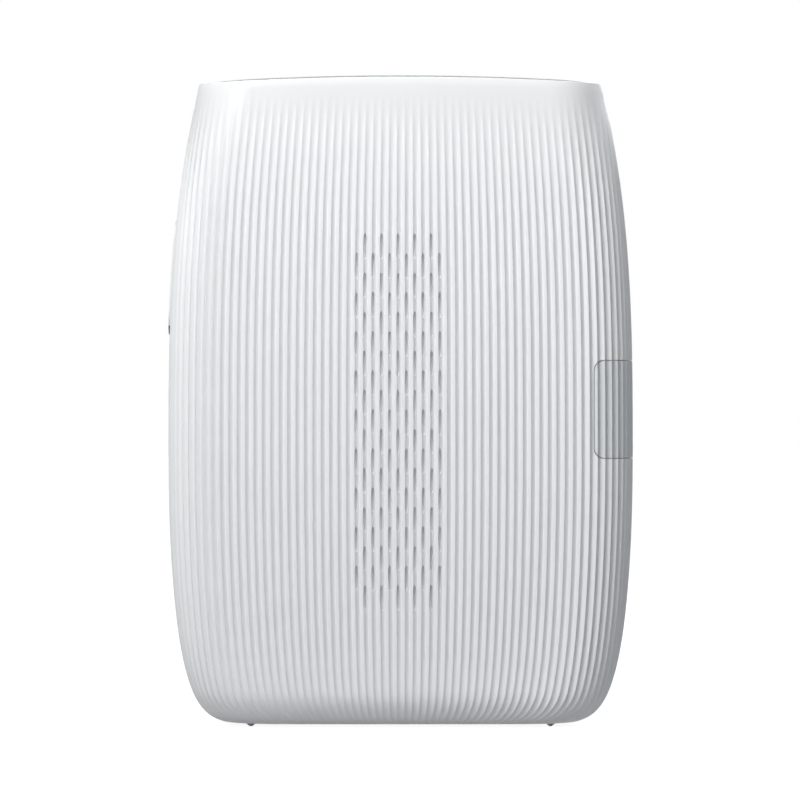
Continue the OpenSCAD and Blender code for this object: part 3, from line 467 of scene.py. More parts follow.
combine(front_shell, [
    rounded_block((COVER_X, COVER_X + BODY_W), (-BODY_D, COVER_Y), COVER_Z, COVER_R),
    side_opening(LOCK_W, LOCK_L, LOCK_R, lock_frame),
    side_opening(PANEL_W, PANEL_L, PANEL_R, panel_frame),
    foot_holes(),
])
print(measure(front_shell))

# %% [markdown]
# ## A panel of short grooves
# Down the middle of the front, short grooves sink deeper into the flutes, as a plain staggered
# pattern. They could be drawn in a bump map, but real hollows catch the light from any side.
# Each is a slim boat with a few dozen faces, cut near the shaded wall of its flute.

# %% The staggered grooves
GROOVE_L, GROOVE_W, GROOVE_DEEP, GROOVE_BLUNT = 5.0, 0.74, 1.15, 0.35
GROOVE_ROWS, GROOVE_PITCH, GROOVE_H0 = 10, 7.5, 24.6
GROOVE_COLUMNS, GROOVE_SHIFT = 5, -0.5


def groove(u, h):
    bm = bmesh.new()
    bmesh.ops.create_uvsphere(bm, u_segments=10, v_segments=8, radius=0.5)
    for v in bm.verts:
        v.co.z = math.copysign(0.5 * abs(2 * v.co.z) ** GROOVE_BLUNT, v.co.z)
    scaled(bm, Vector((GROOVE_W, 2 * GROOVE_DEEP, GROOVE_L)) * MM)
    here, above = skin_point(u, h, h, 0), skin_point(u, h + 1, h + 1, 0)
    turn = Vector((0, 0, 1)).rotation_difference(above - here).to_matrix().to_4x4()
    middle = here + Vector((GROOVE_SHIFT * MM, 0, 0))
    return placed(bm, Matrix.Translation(middle) @ turn)


grooves = [groove(u, GROOVE_H0 + GROOVE_PITCH * (row + 0.5 * (u % 2)))
           for row in range(GROOVE_ROWS) for u in range(-GROOVE_COLUMNS, GROOVE_COLUMNS + 1)
           if not (u % 2 and row == GROOVE_ROWS - 1)]
combine(front_shell, [merged(grooves)])
print(len(grooves), "grooves;", measure(front_shell))

# %% [markdown]
# ## Screw posts
# Four hollow posts stand inside the front shell, and the film chamber is screwed to them. Each
# starts inside the wall, where the corner is already curving away, and a small rib ties its
# inner side to the wall.

# %% Posts joined to the front shell
POST_X, POST_D, POST_BORE, POST_RIB = 37.0, 4.0, 1.6, 1.2
POST_ZS = (16.0, 46.4)
POST_UNDER = FLUTE_DEPTH + 0.1
POST_BACK, RIB_REACH = -4.0, 1.5
BORE_FRONT, SCREW_SEAT = -9.8, -2.5
POSTS = [(side * POST_X, z) for side in (-1, 1) for z in POST_ZS]


def face_y(x, h):
    """How far forward the face of the casing stands at x and height h."""
    a, d, r, _ = plan_at(h)
    e = max(0.0, x - (a - r))
    return -(d - r + math.sqrt(r * r - e * e)) * (1 - FACE_BOW / d * (x / a) ** 2)


posts, ribs = [], []
for x, z in POSTS:
    start = face_y(POST_X + POST_D / 2, z - FOOT_H) + POST_UNDER
    inner_x = math.copysign(POST_X - POST_D / 2, x)
    posts.append(rod("y", (start, POST_BACK), (x, z), POST_D))
    ribs.append(rounded_block(sorted((x, inner_x)),
                              (face_y(POST_X, z - FOOT_H) + POST_UNDER, start + RIB_REACH),
                              (z - POST_RIB / 2, z + POST_RIB / 2)))
bores = [rod("y", (BORE_FRONT, SCREW_SEAT), at, POST_BORE) for at in POSTS]
for tools, operation in ((ribs, "UNION"), (posts, "UNION"), (bores, "DIFFERENCE")):
    combine(front_shell, [merged(tools)], operation)
shade(front_shell)
print(measure(front_shell))

# %% [markdown]
# ## The rear shell and the film door
# The rear shell is the same wall, set back by a hair at the two seams so that a fine shut
# line shows, and the door's opening is cut from it. The door's skin is a second piece of wall
# kept only inside a slightly smaller block, so its flutes run on from those of the shell.

# %% Rear shell
DOOR_W, DOOR_H1, DOOR_R = 64.6, 110.0, 4.0
DOOR_Y = (HALF_D - WALL - CORNER_R / 2, BODY_D)


def door_block(h0, h1, shrink):
    """A block in the outline of the door, smaller at its two sides by shrink."""
    half = DOOR_W / 2 - shrink
    return rounded_block((-half, half), DOOR_Y, (FOOT_H + h0, FOOT_H + h1), DOOR_R)


rear_shell = to_object(fluted_wall(SEAM_U, FLUTES - SEAM_U, shell_levels, shell=True, inset=SEAM),
                       "rear_shell_fluted")
combine(rear_shell, [door_block(DOOR_H0, DOOR_H1, 0), foot_holes()])
shade(rear_shell)
print(measure(rear_shell))

# %% Door skin with its film window
DOOR_SKIN_H0, DOOR_GAP, DOOR_STEP = 11.4, 0.25, 2.4
DOOR_FLUTES = 23
WINDOW_W, WINDOW_H, WINDOW_Z, WINDOW_R = 13.0, 20.0, 61.6, 2.0
WINDOW_Y = (5, BODY_D)
door_levels = levels_between(DOOR_SKIN_H0 - OVERCUT, DOOR_H1 + OVERCUT, DOOR_STEP)
door_skin = to_object(fluted_wall(FLUTES // 2 - DOOR_FLUTES, FLUTES // 2 + DOOR_FLUTES, door_levels),
                      "door_skin_fluted")
combine(door_skin, [door_block(DOOR_SKIN_H0, DOOR_H1 - DOOR_GAP, DOOR_GAP)], "INTERSECT")
combine(door_skin, [rounded_block((-WINDOW_W / 2, WINDOW_W / 2), WINDOW_Y,
                                  (WINDOW_Z - WINDOW_H / 2, WINDOW_Z + WINDOW_H / 2), WINDOW_R)])
shade(door_skin)
print(measure(door_skin))

# %% [markdown]
# ## The corner cover
# A small cover wraps around the front right corner and swings on a pin at its back edge. It
# is cut from the same wall, a little thinner, and its knuckle is a short tube along the edge.

# %% Corner cover with its knuckle
COVER_T, COVER_GAP, COVER_STEP = 1.4, 0.13, 1.6
COVER_FLUTES = (22, 39)
HINGE_XY, PIN_D, KNUCKLE_D = (43.9423, 1.15), 1.0, 1.8
BOSS_H, BOSS_GAP, BOSS_ROOM_D, KNUCKLE_GAP = 2.3, 0.3, 2.3, 0.5
low, high = COVER_Z
cover_levels = levels_between(low - FOOT_H - OVERCUT, high - FOOT_H + OVERCUT, COVER_STEP)
cover = to_object(fluted_wall(*COVER_FLUTES, cover_levels, thick=COVER_T), "port_cover_fluted")
combine(cover, [rounded_block((COVER_X + COVER_GAP, COVER_X + BODY_W), (-BODY_D, HINGE_XY[1]),
                              (low + COVER_GAP, high - COVER_GAP), COVER_R)], "INTERSECT")
knuckle = (low + BOSS_H + KNUCKLE_GAP, high - BOSS_H - KNUCKLE_GAP)
combine(cover, [rod("z", knuckle, HINGE_XY, KNUCKLE_D)], "UNION")
boss_ends = ((low - OVERCUT, low + BOSS_H + BOSS_GAP), (high - BOSS_H - BOSS_GAP, high + OVERCUT))
boss_room = [rod("z", ends, HINGE_XY, BOSS_ROOM_D) for ends in boss_ends]
combine(cover, [rod("z", COVER_Z, HINGE_XY, PIN_D), merged(boss_room)])
shade(cover)
print(measure(cover))

# %% [markdown]
# ## A grey ring of painted shade on the top plate
# A thin grey ring lies on the border of the top plate and stands a little over the rims of
# the shells, so that it draws a fine line along the top: painted shade of the top edge. Only
# near the corners do the rims rise and close over it. It follows the same skin, some way in:
# four loops around the casing, bridged in turn, give a closed ring.

# %% Grey ring of painted shade on the border of the top plate
PLATE_DROP = 0.25
RING_STEPS, RING_ROUND = 3, 0.05
RING_DEPTH = (WALL + SEAM + 0.02, WALL + SEAM + 0.6)


def skin_ring(depths, heights):
    bm = bmesh.new()
    loops = []
    (near, far), (low, high) = depths, heights
    for depth, z in ((near, low), (near, high), (far, high), (far, low)):
        loop = bmesh.ops.create_circle(bm, segments=FLUTES * RING_STEPS, radius=1)["verts"]
        for i, v in enumerate(loop):
            v.co = skin_point(i / RING_STEPS, BODY_H, z, depth)
        loops.append(list({e for v in loop for e in v.link_edges}))
    for one, other in zip(loops, loops[1:] + loops[:1]):
        bmesh.ops.bridge_loops(bm, edges=one + other)
    outwards(bm)
    rounded(bm, [e for e in bm.edges if e.calc_face_angle(0) > 1], RING_ROUND * MM)
    return bm


# The grey ring is painted shade: it draws the dark line along the top edge.
painted_shade_ring = shade(to_object(skin_ring(RING_DEPTH, (BODY_H - PLATE_DROP, BODY_H)), "painted_shade_ring"))
print(measure(painted_shade_ring))

# %% [markdown]
# ## Softened edges for moulded and machined parts
# No real part has a mathematically sharp edge; the thin highlight along it tells the eye what
# the part is made of. The engineering solids are exact, so a copy of each is welded, its flat
# faces are joined up, and only its sharp edges are bevelled.

# %% Soften a solid's edges
SAME_PLACE, FLAT_DEG, SHARP_DEG = 1e-7, 0.6, 50
soft_parts = {}


def welded(node):
    """A copy of an engineering solid, with its points joined and its flat faces in one."""
    bm = bmesh.new()
    bm.from_mesh(nodes[node].data)
    bmesh.ops.remove_doubles(bm, verts=bm.verts, dist=SAME_PLACE)
    bmesh.ops.dissolve_limit(bm, angle_limit=math.radians(FLAT_DEG), verts=bm.verts, edges=bm.edges)
    return bm


def soften(node, width, segments=2, tools=()):
    """Bevels the sharp edges of a solid's copy, then cuts the tools out of it."""
    bm = welded(node)
    before = bm.calc_volume()
    sharp = [e for e in bm.edges if len(e.link_faces) == 2
             and e.calc_face_angle(0) > math.radians(SHARP_DEG)]
    rounded(bm, sharp, width * MM, segments, clamp=True)
    share, loose = bm.calc_volume() / before, loose_edges(bm)
    soft_parts[node] = shade(combine(to_object(bm, node + "_soft"), tools), 35)
    print(f"{node}: {share:.3f} of its volume, {loose} open edges")


for node, width in {
    "top_bezel": 0.16, "exit_chute": 0.12, "chassis": 0.2, "door_liner": 0.16, "print_head": 0.25,
    "battery": 0.7, "shield_can": 0.2, "motor": 0.3, "gear_plate": 0.12, "left_bracket": 0.12,
    "drive_roller": 0.15, "pinch_roller": 0.15, "door_switch": 0.12, "film_claw": 0.1,
    "board_chips": 0.1, "port_tray": 0.08, "lock_bar": 0.1, "door_window": 0.15,
}.items():
    soften(node, width)

# %% [markdown]
# ## The door lock, the panel and its buttons
# The lock's slider gets grip grooves across it, so that a thumb can push it. Each button is
# dished by a large ball, which is how a mould maker would do it too, and the power button
# carries an engraved ring. The status light and the charge light are short milky bars.

# %% Lock slider with grip grooves
SLIDER_Z = 1.0
GRIPS, GRIP_PITCH, GRIP_D, GRIP_X = 7, 1.5, 0.8, 0.62
grip_zs = [SLIDER_Z + (i - (GRIPS - 1) / 2) * GRIP_PITCH for i in range(GRIPS)]
grips = merged([placed(rod("y", (-LOCK_W / 2, LOCK_W / 2), (GRIP_X, z), GRIP_D, segments=16),
                       lock_frame) for z in grip_zs])
soften("lock_slider", 0.15, tools=[grips])

# %% Lock track with a black end piece at its lower end, which is painted shade
PAD_L, PAD_DEEP, PAD_OUT = 1.7, 0.6, 3.0


def track_end():
    return placed(rounded_block((-PAD_DEEP, PAD_OUT), (-LOCK_W, LOCK_W),
                                (-LOCK_L / 2 - OVERCUT, -LOCK_L / 2 + PAD_L)), lock_frame)


soften("lock_track", 0.12, tools=[track_end()])
# The black end piece is painted shade: it stands for the shade under the lower end of the track.
shade_end_piece = shade(combine(to_object(welded("lock_track"), "lock_end_painted_shade"), [track_end()], "INTERSECT"))
print(measure(shade_end_piece))

# %% Panel, buttons and lights
POWER_Z, FUNCTION_Z = 4.6, -5.6
BUTTON_FACE = -0.1
POWER_BALL, POWER_BALL_X = 40, 19.83
FUNCTION_BALL, FUNCTION_BALL_X = 25, 12.35
RING_D, RING_THICK, RING_SUNK = 2.2, 0.34, 0.12


def ball(at, diameter):
    bm = bmesh.new()
    bmesh.ops.create_uvsphere(bm, u_segments=96, v_segments=64, radius=diameter / 2)
    return placed(in_metres(moved(bm, at)), panel_frame)


def turned(bm, axis, steps):
    """Spins what is there once around an axis, and closes it."""
    bmesh.ops.spin(bm, geom=bm.verts[:] + bm.edges[:], cent=(0, 0, 0), axis=axis,
                   angle=2 * math.pi, steps=steps, use_merge=True)
    bmesh.ops.remove_doubles(bm, verts=bm.verts, dist=1e-5)
    return outwards(bm)


def ring(at, diameter, thick):
    """A round bar bent into a ring around the panel's outward axis."""
    bm = bmesh.new()
    bmesh.ops.create_circle(bm, segments=10, radius=thick / 2)
    placed(bm, UPRIGHT)
    turned(moved(bm, (0, 0, diameter / 2)), (1, 0, 0), 48)
    return placed(in_metres(moved(bm, at)), panel_frame)


soften("control_panel", 0.14)
soften("power_button", 0.25, segments=3,
       tools=[ball((BUTTON_FACE + POWER_BALL_X, 0, POWER_Z), POWER_BALL),
              ring((BUTTON_FACE - RING_SUNK, 0, POWER_Z), RING_D, RING_THICK)])
soften("function_button", 0.25, segments=3,
       tools=[ball((BUTTON_FACE + FUNCTION_BALL_X, 0, FUNCTION_Z), FUNCTION_BALL)])
soften("status_light", 0.1)

# %% [markdown]
# ## Small turned parts
# Feet, screws and pins are turned parts, so each could be spun from a short profile. The feet
# are plugs of soft rubber that end in a blunt tip; the screws get a cross recess.

# %% Rubber feet
FOOT_STEPS = 24
foot_profile = [(0, 0), (0.14, 0.01), (0.3, 0.06), (0.46, 0.17), (0.63, 0.3), (0.79, 0.42),
                (0.92, 0.53), (1.0, 0.68), (1.0, 1.6), (0, 1.6)]


def foot(x, y):
    """The profile of (radius, height), spun and put in its place."""
    bm = bmesh.new()
    verts = [bm.verts.new((r, 0, z)) for r, z in foot_profile]
    for pair in zip(verts, verts[1:]):
        bm.edges.new(pair)
    return in_metres(moved(turned(bm, (0, 0, 1), FOOT_STEPS), (x, y, 0)))


feet = shade(to_object(merged([foot(x, y) for x, y in FEET]), "feet_rubber"), 50)
print(measure(feet))

# %% Screws with a cross recess
SCREW_HEAD_H = 1.1
SLOT_W, SLOT_L, SLOT_DEEP, SLOT_OVER = 0.3, 1.7, 0.45, 0.2
HEAD_Y = SCREW_SEAT + SCREW_HEAD_H
slots = [rounded_block((x - w / 2, x + w / 2), (HEAD_Y - SLOT_DEEP, HEAD_Y + SLOT_OVER),
                       (z - l / 2, z + l / 2))
         for x, z in POSTS for w, l in ((SLOT_W, SLOT_L), (SLOT_L, SLOT_W))]
soften("screws", 0.12, tools=slots)

# %% [markdown]
# ## Inside the film door
# With the door open, its inner plate shows. A real one is stiffened by low ribs, because a
# flat moulding warps. The ribs are drawn as a frame: a grid whose faces are inset and whose
# borders are raised.

# %% Ribs on the inner door plate
LINER_Y = 14.9
RIBS_W, RIB_PANES = 25.0, 3
RIB_HEIGHT, RIB_SUNK, RIB_BAR, RIB_ROUND = 0.5, 0.1, 0.45, 0.12


def rib_panel(low, high, name):
    bm = bmesh.new()
    bmesh.ops.create_grid(bm, x_segments=RIB_PANES, y_segments=RIB_PANES, size=0.5)
    scaled(bm, (RIBS_W, high - low, 1))
    panes = bm.faces[:]
    bmesh.ops.inset_individual(bm, faces=panes, thickness=RIB_BAR, use_even_offset=True)
    bmesh.ops.delete(bm, geom=panes, context="FACES_ONLY")
    bmesh.ops.solidify(bm, geom=bm.faces[:], thickness=RIB_HEIGHT + RIB_SUNK)
    corners = [e for e in bm.edges if len(e.link_faces) == 2 and e.calc_face_angle(0) > 1]
    rounded(bm, corners, RIB_ROUND)
    placed(bm, UPRIGHT)
    far = max(v.co.y for v in bm.verts)
    moved(bm, (0, LINER_Y + RIB_SUNK - far, (low + high) / 2))
    return shade(to_object(outwards(in_metres(bm)), name))


door_ribs = rib_panel(75.5, 104.5, "door_ribs_upper")
door_ribs_low = rib_panel(16.0, 48.0, "door_ribs_lower")
print(measure(door_ribs), measure(door_ribs_low))

# %% [markdown]
# ## Putting the pieces on their bodies
# Each new piece stands for the engineering solid that it was modelled from, and moves with the
# same body. The extra ribs move with the door; the grey ring and the black end piece, both
# painted shade, stay on the casing.

# %% Ride, replace and name the finish
slot_of = {s["node"]: s["material_slot"] for s in frame["record"]["subparts"]}
pieces = {"front_shell": front_shell, "rear_shell": rear_shell, "door_skin": door_skin,
          "port_cover": cover, "feet": feet, **soft_parts}
for node, piece in pieces.items():
    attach(piece, body_of[node])
    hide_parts(node)
# The grey top ring and the black end piece of the lock track are painted shade.
extras = {door_ribs: ("door_liner", "chassis_black"), door_ribs_low: ("door_liner", "chassis_black"),
          painted_shade_ring: ("top_bezel", "trim_grey"), shade_end_piece: ("lock_track", "roller_rubber")}
for piece, (node, slot) in extras.items():
    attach(piece, body_of[node])
print(len(pieces), "pieces replace solids;", len(nodes) - len(pieces), "stay as they are")

# %% [markdown]
# ## Surface effects that several finishes share
# Moulded grain, faint changes of tone, handling marks, worn edges, brushed lines and dust turn
# up on many materials. Each is built once as a node group with named sockets, and every
# finish places it with its own values. All of them read object coordinates, so a pattern
# stays on its part when the part moves.

# %% Small helpers that add to the node tree being built
tree = None


def put(node, values):
    """Puts numbers into a node's sockets, and links other nodes' outputs to them."""
    for key, value in values.items():
        if isinstance(value, bpy.types.NodeSocket):
            tree.links.new(value, node.inputs[key])
        else:
            node.inputs[key].default_value = value


def add(kind, values=None, **settings):
    node = tree.nodes.new("ShaderNode" + kind)
    for key, value in settings.items():
        setattr(node, key, value)
    put(node, values or {})
    return node


def math_node(operation, a, b=0.0, clamp=False):
    return add("Math", {0: a, 1: b}, operation=operation, use_clamp=clamp).outputs[0]


def times(a, b):
    return math_node("MULTIPLY", a, b)


def mix_of(a, share_a, b, share_b):
    """The sum of two values, each times its share."""
    return math_node("ADD", times(a, share_a), times(b, share_b))


def span(value, low, high, to_low=0.0, to_high=1.0):
    """Stretches what lies from low to high over another range, and holds the ends."""
    ends = {"From Min": low, "From Max": high, "To Min": to_low, "To Max": to_high}
    return add("MapRange", {"Value": value, **ends}, clamp=True).outputs[0]


def blend(share, a, b):
    """Goes from colour a to colour b as the share goes from 0 to 1."""
    return add("Mix", {0: share, 6: a, 7: b}, data_type="RGBA").outputs[2]


# %% Node groups, and patterns in millimetres
def new_group(name, inputs, outputs):
    """Starts a group: gives its tree, the sockets to read and the node to fill."""
    global tree
    tree = bpy.data.node_groups.new(name, "ShaderNodeTree")
    for label, kind, value in inputs:
        socket = tree.interface.new_socket(label, in_out="INPUT", socket_type="NodeSocket" + kind)
        socket.default_value = value
    for label, kind in outputs:
        tree.interface.new_socket(label, in_out="OUTPUT", socket_type="NodeSocket" + kind)
    start, end = tree.nodes.new("NodeGroupInput"), tree.nodes.new("NodeGroupOutput")
    return tree, start.outputs, end


def mapping(vector, **values):
    return add("Mapping", {"Vector": vector, **values}).outputs[0]


def object_mm():
    """Object coordinates in millimetres."""
    return mapping(add("TexCoord").outputs["Object"], Scale=(1000, 1000, 1000))


def noise(vector, scale, detail=2.0, roughness=0.5, distortion=0.0):
    return add("TexNoise", {"Vector": vector, "Scale": scale, "Detail": detail,
                            "Roughness": roughness, "Distortion": distortion}).outputs[0]


def cells(vector, scale, randomness=1.0):
    node = add("TexVoronoi", {"Vector": vector, "Scale": scale, "Randomness": randomness})
    return node.outputs["Distance"]


# %% Moulded grain: two sizes of fine pits
grain, g_in, g_out = new_group("moulded_grain", [("Size", "Float", 0.3)], [("Height", "Float")])
g_place = object_mm()
g_scale = math_node("DIVIDE", 1.0, g_in["Size"])
g_fine = noise(g_place, g_scale, 3.0, 0.6)
g_wide = noise(g_place, times(g_scale, 0.17), 1.0)
put(g_out, {"Height": mix_of(g_fine, 0.55, g_wide, 0.45)})

# %% Tone drift: slow changes of colour from flow in the mould
drift, d_in, d_out = new_group("tone_drift", [("Colour", "Color", (0.8, 0.8, 0.8, 1)),
                                              ("Other", "Color", (0.7, 0.7, 0.7, 1)),
                                              ("Size", "Float", 12.0)], [("Colour", "Color")])
d_place = object_mm()
d_patch = noise(d_place, math_node("DIVIDE", 1.0, d_in["Size"]), 4.0, 0.6, 0.6)
d_speck = noise(d_place, 2.3, 2.0)
d_share = mix_of(span(d_patch, 0.36, 0.68), 0.75, span(d_speck, 0.42, 0.66), 0.25)
put(d_out, {"Colour": blend(d_share, d_in["Colour"], d_in["Other"])})

# %% Handling marks: rubbed patches, and hair-fine scuffs in two directions
marks, m_in, m_out = new_group("handling_marks", [("Clean", "Float", 0.4), ("Rubbed", "Float", 0.3)],
                               [("Roughness", "Float"), ("Scuffs", "Float")])
m_place = object_mm()
m_patch = span(noise(m_place, 0.09, 5.0, 0.55, 1.2), 0.44, 0.62)
scuffs = []
for turn, stretch in (((0.2, 0.5, 0.4), (0.12, 3.0, 3.0)), ((0.9, -0.3, -0.7), (3.2, 0.1, 3.2))):
    lined = mapping(m_place, Rotation=turn, Scale=stretch)
    scuffs.append(span(noise(lined, 1.0, 2.0, 0.4), 0.7, 0.78))
m_scuff = math_node("MAXIMUM", *scuffs)
m_share = math_node("SUBTRACT", m_patch, times(m_scuff, 0.5), clamp=True)
m_rough = span(m_share, 0.0, 1.0, m_in["Clean"], m_in["Rubbed"])
put(m_out, {"Roughness": m_rough, "Scuffs": m_scuff})

# %% Worn edges: where the rounded normal leaves the flat one
wear, w_in, w_out = new_group("worn_edges", [("Width", "Float", 0.3)], [("Mask", "Float")])
w_round = add("Bevel", {"Radius": times(w_in["Width"], MM)}, samples=4).outputs[0]
w_flat = add("NewGeometry").outputs["Normal"]
w_turn = add("VectorMath", {0: w_round, 1: w_flat}, operation="DOT_PRODUCT").outputs["Value"]
w_edge = span(w_turn, 0.99, 0.86)
w_break = span(noise(object_mm(), 0.9, 3.0, 0.6), 0.38, 0.6)
put(w_out, {"Mask": times(w_edge, w_break)})

# %% Brushed lines: noise that is stretched along one direction
brush, b_in, b_out = new_group("brushed_lines", [("Stretch", "Vector", (0.05, 12.0, 12.0))],
                               [("Lines", "Float")])
b_place = mapping(object_mm(), Scale=b_in["Stretch"])
b_lines = mix_of(noise(b_place, 1.0, 3.0, 0.7), 0.7, noise(b_place, 0.21, 2.0), 0.3)
put(b_out, {"Lines": b_lines})

# %% Settled dust: on faces that look up, in drifts
dust, u_in, u_out = new_group("settled_dust", [("Amount", "Float", 0.3)], [("Mask", "Float")])
u_up = add("SeparateXYZ", {0: add("TexCoord").outputs["Normal"]}).outputs["Z"]
u_drift = noise(object_mm(), 0.35, 6.0, 0.65, 0.4)
u_mask = times(span(u_up, 0.2, 1.0, 0.25, 1.0), span(u_drift, 0.4, 0.72))
put(u_out, {"Mask": times(u_mask, u_in["Amount"])})
print("shared effects:", [g.name for g in bpy.data.node_groups])

# %% [markdown]
# ## Finishes: moulded plastics
# A plastic could be one flat colour, but a real one drifts in tone, is rubbed smoother where
# hands touch it, and shows a fine grain from the mould. The casing is a satin white, the
# chamber a spark-eroded black that keeps stray light from the film.

# %% New materials, and effects placed in them
finishes = {}


def node_of(kind):
    return next(n for n in tree.nodes if n.type == kind)


def blank(name):
    """Starts the tree of a new material."""
    global tree
    finishes[name] = bpy.data.materials.new(name)
    finishes[name].use_nodes = True
    tree = finishes[name].node_tree


def finish(**values):
    """Fills the shader's own sockets; an underscore stands for a space."""
    put(node_of("BSDF_PRINCIPLED"), {key.replace("_", " "): value for key, value in values.items()})


def effect(group, **values):
    return add("Group", values, node_tree=group).outputs


# %% Parts of a finish that several materials share
def toned(colour, other, size_mm):
    """A colour that drifts to another in patches of a size."""
    return effect(drift, Colour=(*colour, 1), Other=(*other, 1), Size=size_mm)["Colour"]


def worn(look, colour, share, width=0.3):
    """Lets another colour show where an edge is worn."""
    mask = effect(wear, Width=width)["Mask"]
    return blend(times(mask, share), look, (*colour, 1))


def handled(clean, rubbed):
    """The roughness of a surface that is rubbed in places."""
    return effect(marks, Clean=clean, Rubbed=rubbed)["Roughness"]


def pitted(grain_mm):
    return effect(grain, Size=grain_mm)["Height"]


def relief(height, depth_mm):
    """Turns a height from 0 to 1 into a bump that is depth_mm deep."""
    return add("Bump", {"Distance": depth_mm * MM, "Height": height}).outputs[0]


# %% A moulded plastic
DUST_COLOUR = (0.36, 0.35, 0.33, 1)


def plastic(name, colour, other, clean, rubbed, grain_mm=0.22, depth_mm=0.006, edge=None,
            edge_share=0.35, drift_mm=12.0, dusty=0.0):
    blank(name)
    look = toned(colour, other, drift_mm)
    if edge:
        look = worn(look, edge, edge_share)
    if dusty:
        look = blend(effect(dust, Amount=dusty)["Mask"], look, DUST_COLOUR)
    finish(Base_Color=look, Roughness=handled(clean, rubbed), IOR=1.52,
           Normal=relief(pitted(grain_mm), depth_mm))


# %% The plastics of the outside
plastic("casing_white", (0.855, 0.868, 0.876), (0.840, 0.853, 0.862), clean=0.40, rubbed=0.33)
plastic("cover_white", (0.722, 0.750, 0.770), (0.707, 0.736, 0.756), clean=0.42, rubbed=0.34)
plastic("bezel_white", (0.85, 0.856, 0.856), (0.83, 0.838, 0.84),
        clean=0.46, rubbed=0.38, grain_mm=0.18, depth_mm=0.008,
        edge=(0.93, 0.93, 0.93), edge_share=0.25)
plastic("trim_grey", (0.55, 0.56, 0.57), (0.52, 0.53, 0.545),
        clean=0.36, rubbed=0.28, grain_mm=0.2, edge=(0.68, 0.68, 0.68))

# %% The plastics of the inside
plastic("chassis_black", (0.034, 0.035, 0.039), (0.05, 0.051, 0.054),
        clean=0.62, rubbed=0.46, grain_mm=0.35, depth_mm=0.03,
        edge=(0.16, 0.16, 0.165), edge_share=0.5, dusty=0.16)
plastic("chip_black", (0.034, 0.034, 0.036), (0.055, 0.055, 0.058),
        clean=0.56, rubbed=0.44, grain_mm=0.12, depth_mm=0.01, edge=(0.13, 0.13, 0.13), dusty=0.1)
plastic("gear_ivory", (0.86, 0.82, 0.72), (0.80, 0.745, 0.61),
        clean=0.44, rubbed=0.3, grain_mm=0.5, depth_mm=0.008, edge=(0.93, 0.91, 0.85), drift_mm=3.0)

# %% [markdown]
# ## Finishes: buttons and lights
# The faces of the buttons were turned on a lathe in their mould, so fine rings run around each
# button's own centre. A mapping node moves the centre of the rings to each button. The lights
# are milky bars with faint clouds in them.

# %% Buttons with turned rings
def turned_plastic(name, centre_z):
    blank(name)
    look = toned((0.70, 0.71, 0.72), (0.67, 0.68, 0.69), 5.0)
    centred = mapping(object_mm(), Location=(0, 0, -centre_z))
    rings = add("TexWave", {"Vector": centred, "Scale": 1.1, "Distortion": 0.5, "Detail": 2.0},
                wave_type="RINGS", rings_direction="X").outputs["Fac"]
    finish(Base_Color=worn(look, (0.82, 0.82, 0.81), 0.4, width=0.35), IOR=1.52,
           Roughness=handled(0.38, 0.24), Normal=relief(rings, 0.012))


turned_plastic("power_button_grey", FOOT_H + PANEL_H + POWER_Z)
turned_plastic("function_button_grey", FOOT_H + PANEL_H + FUNCTION_Z)

# %% Milky light bars
blank("light_diffuser")
finish(Base_Color=toned((0.93, 0.94, 0.92), (0.80, 0.83, 0.82), 1.6), IOR=1.49,
       Roughness=handled(0.26, 0.16), Normal=relief(pitted(0.15), 0.004),
       Coat_Weight=0.3, Coat_Roughness=0.06)
print("so far:", list(finishes))

# %% [markdown]
# ## Finishes: rubber, foam and felt
# The rubber of the feet is milky and lets some light in; the rollers are ground round, which
# leaves fine rings. The foam of the light seal is all small cells, and a cell pattern with deep
# relief shows that better than grain does; its colour is darker in the low parts, painted shade
# in the pores.

# %% Rubbers
def rubber(name, colour, dusted, rough, depth_mm=0.008, ground=False, milky=0.0):
    blank(name)
    share = span(noise(object_mm(), 0.8, 4.0, 0.6), 0.42, 0.66)
    height = pitted(0.25)
    if ground:
        lines = effect(brush, Stretch=(5.0, 0.25, 0.25))["Lines"]
        height = mix_of(height, 0.3, lines, 0.7)
    finish(Base_Color=blend(share, (*colour, 1), (*dusted, 1)),
           Roughness=span(share, 0, 1, rough - 0.08, rough + 0.08),
           Normal=relief(height, depth_mm), Specular_IOR_Level=0.35, Transmission_Weight=milky)


rubber("foot_rubber", (0.78, 0.79, 0.80), (0.72, 0.725, 0.73), rough=0.6, milky=0.75)
# The grey of the top ring is painted shade.
rubber("shade_line_grey", (0.36, 0.368, 0.376), (0.33, 0.338, 0.346), rough=0.62)
rubber("roller_rubber", (0.045, 0.045, 0.05), (0.075, 0.074, 0.073), rough=0.66, depth_mm=0.025,
       ground=True)

# %% Open-cell foam and felt
blank("foam_black")
pore = span(cells(object_mm(), 3.2), 0.05, 0.6)
lint = span(noise(object_mm(), 1.7, 5.0, 0.7), 0.58, 0.74)
# Darker where the cell relief is low: painted shade in the pores.
base = blend(pore, (0.05, 0.05, 0.053, 1), (0.008, 0.008, 0.009, 1))
finish(Base_Color=blend(times(lint, 0.3), base, (0.16, 0.16, 0.165, 1)),
       Roughness=span(pore, 0, 1, 0.86, 0.98), Specular_IOR_Level=0.15,
       Normal=relief(math_node("SUBTRACT", 1.0, pore), 0.16))

# %% [markdown]
# ## Finishes: metals
# Sheet steel is brushed, axles are drawn bright and turned, the motor's can is black oxide,
# and the bushes are sintered bronze with oil in their pores. One function makes them all:
# lines give both the roughness and the relief, and a tarnish colour comes through in patches.

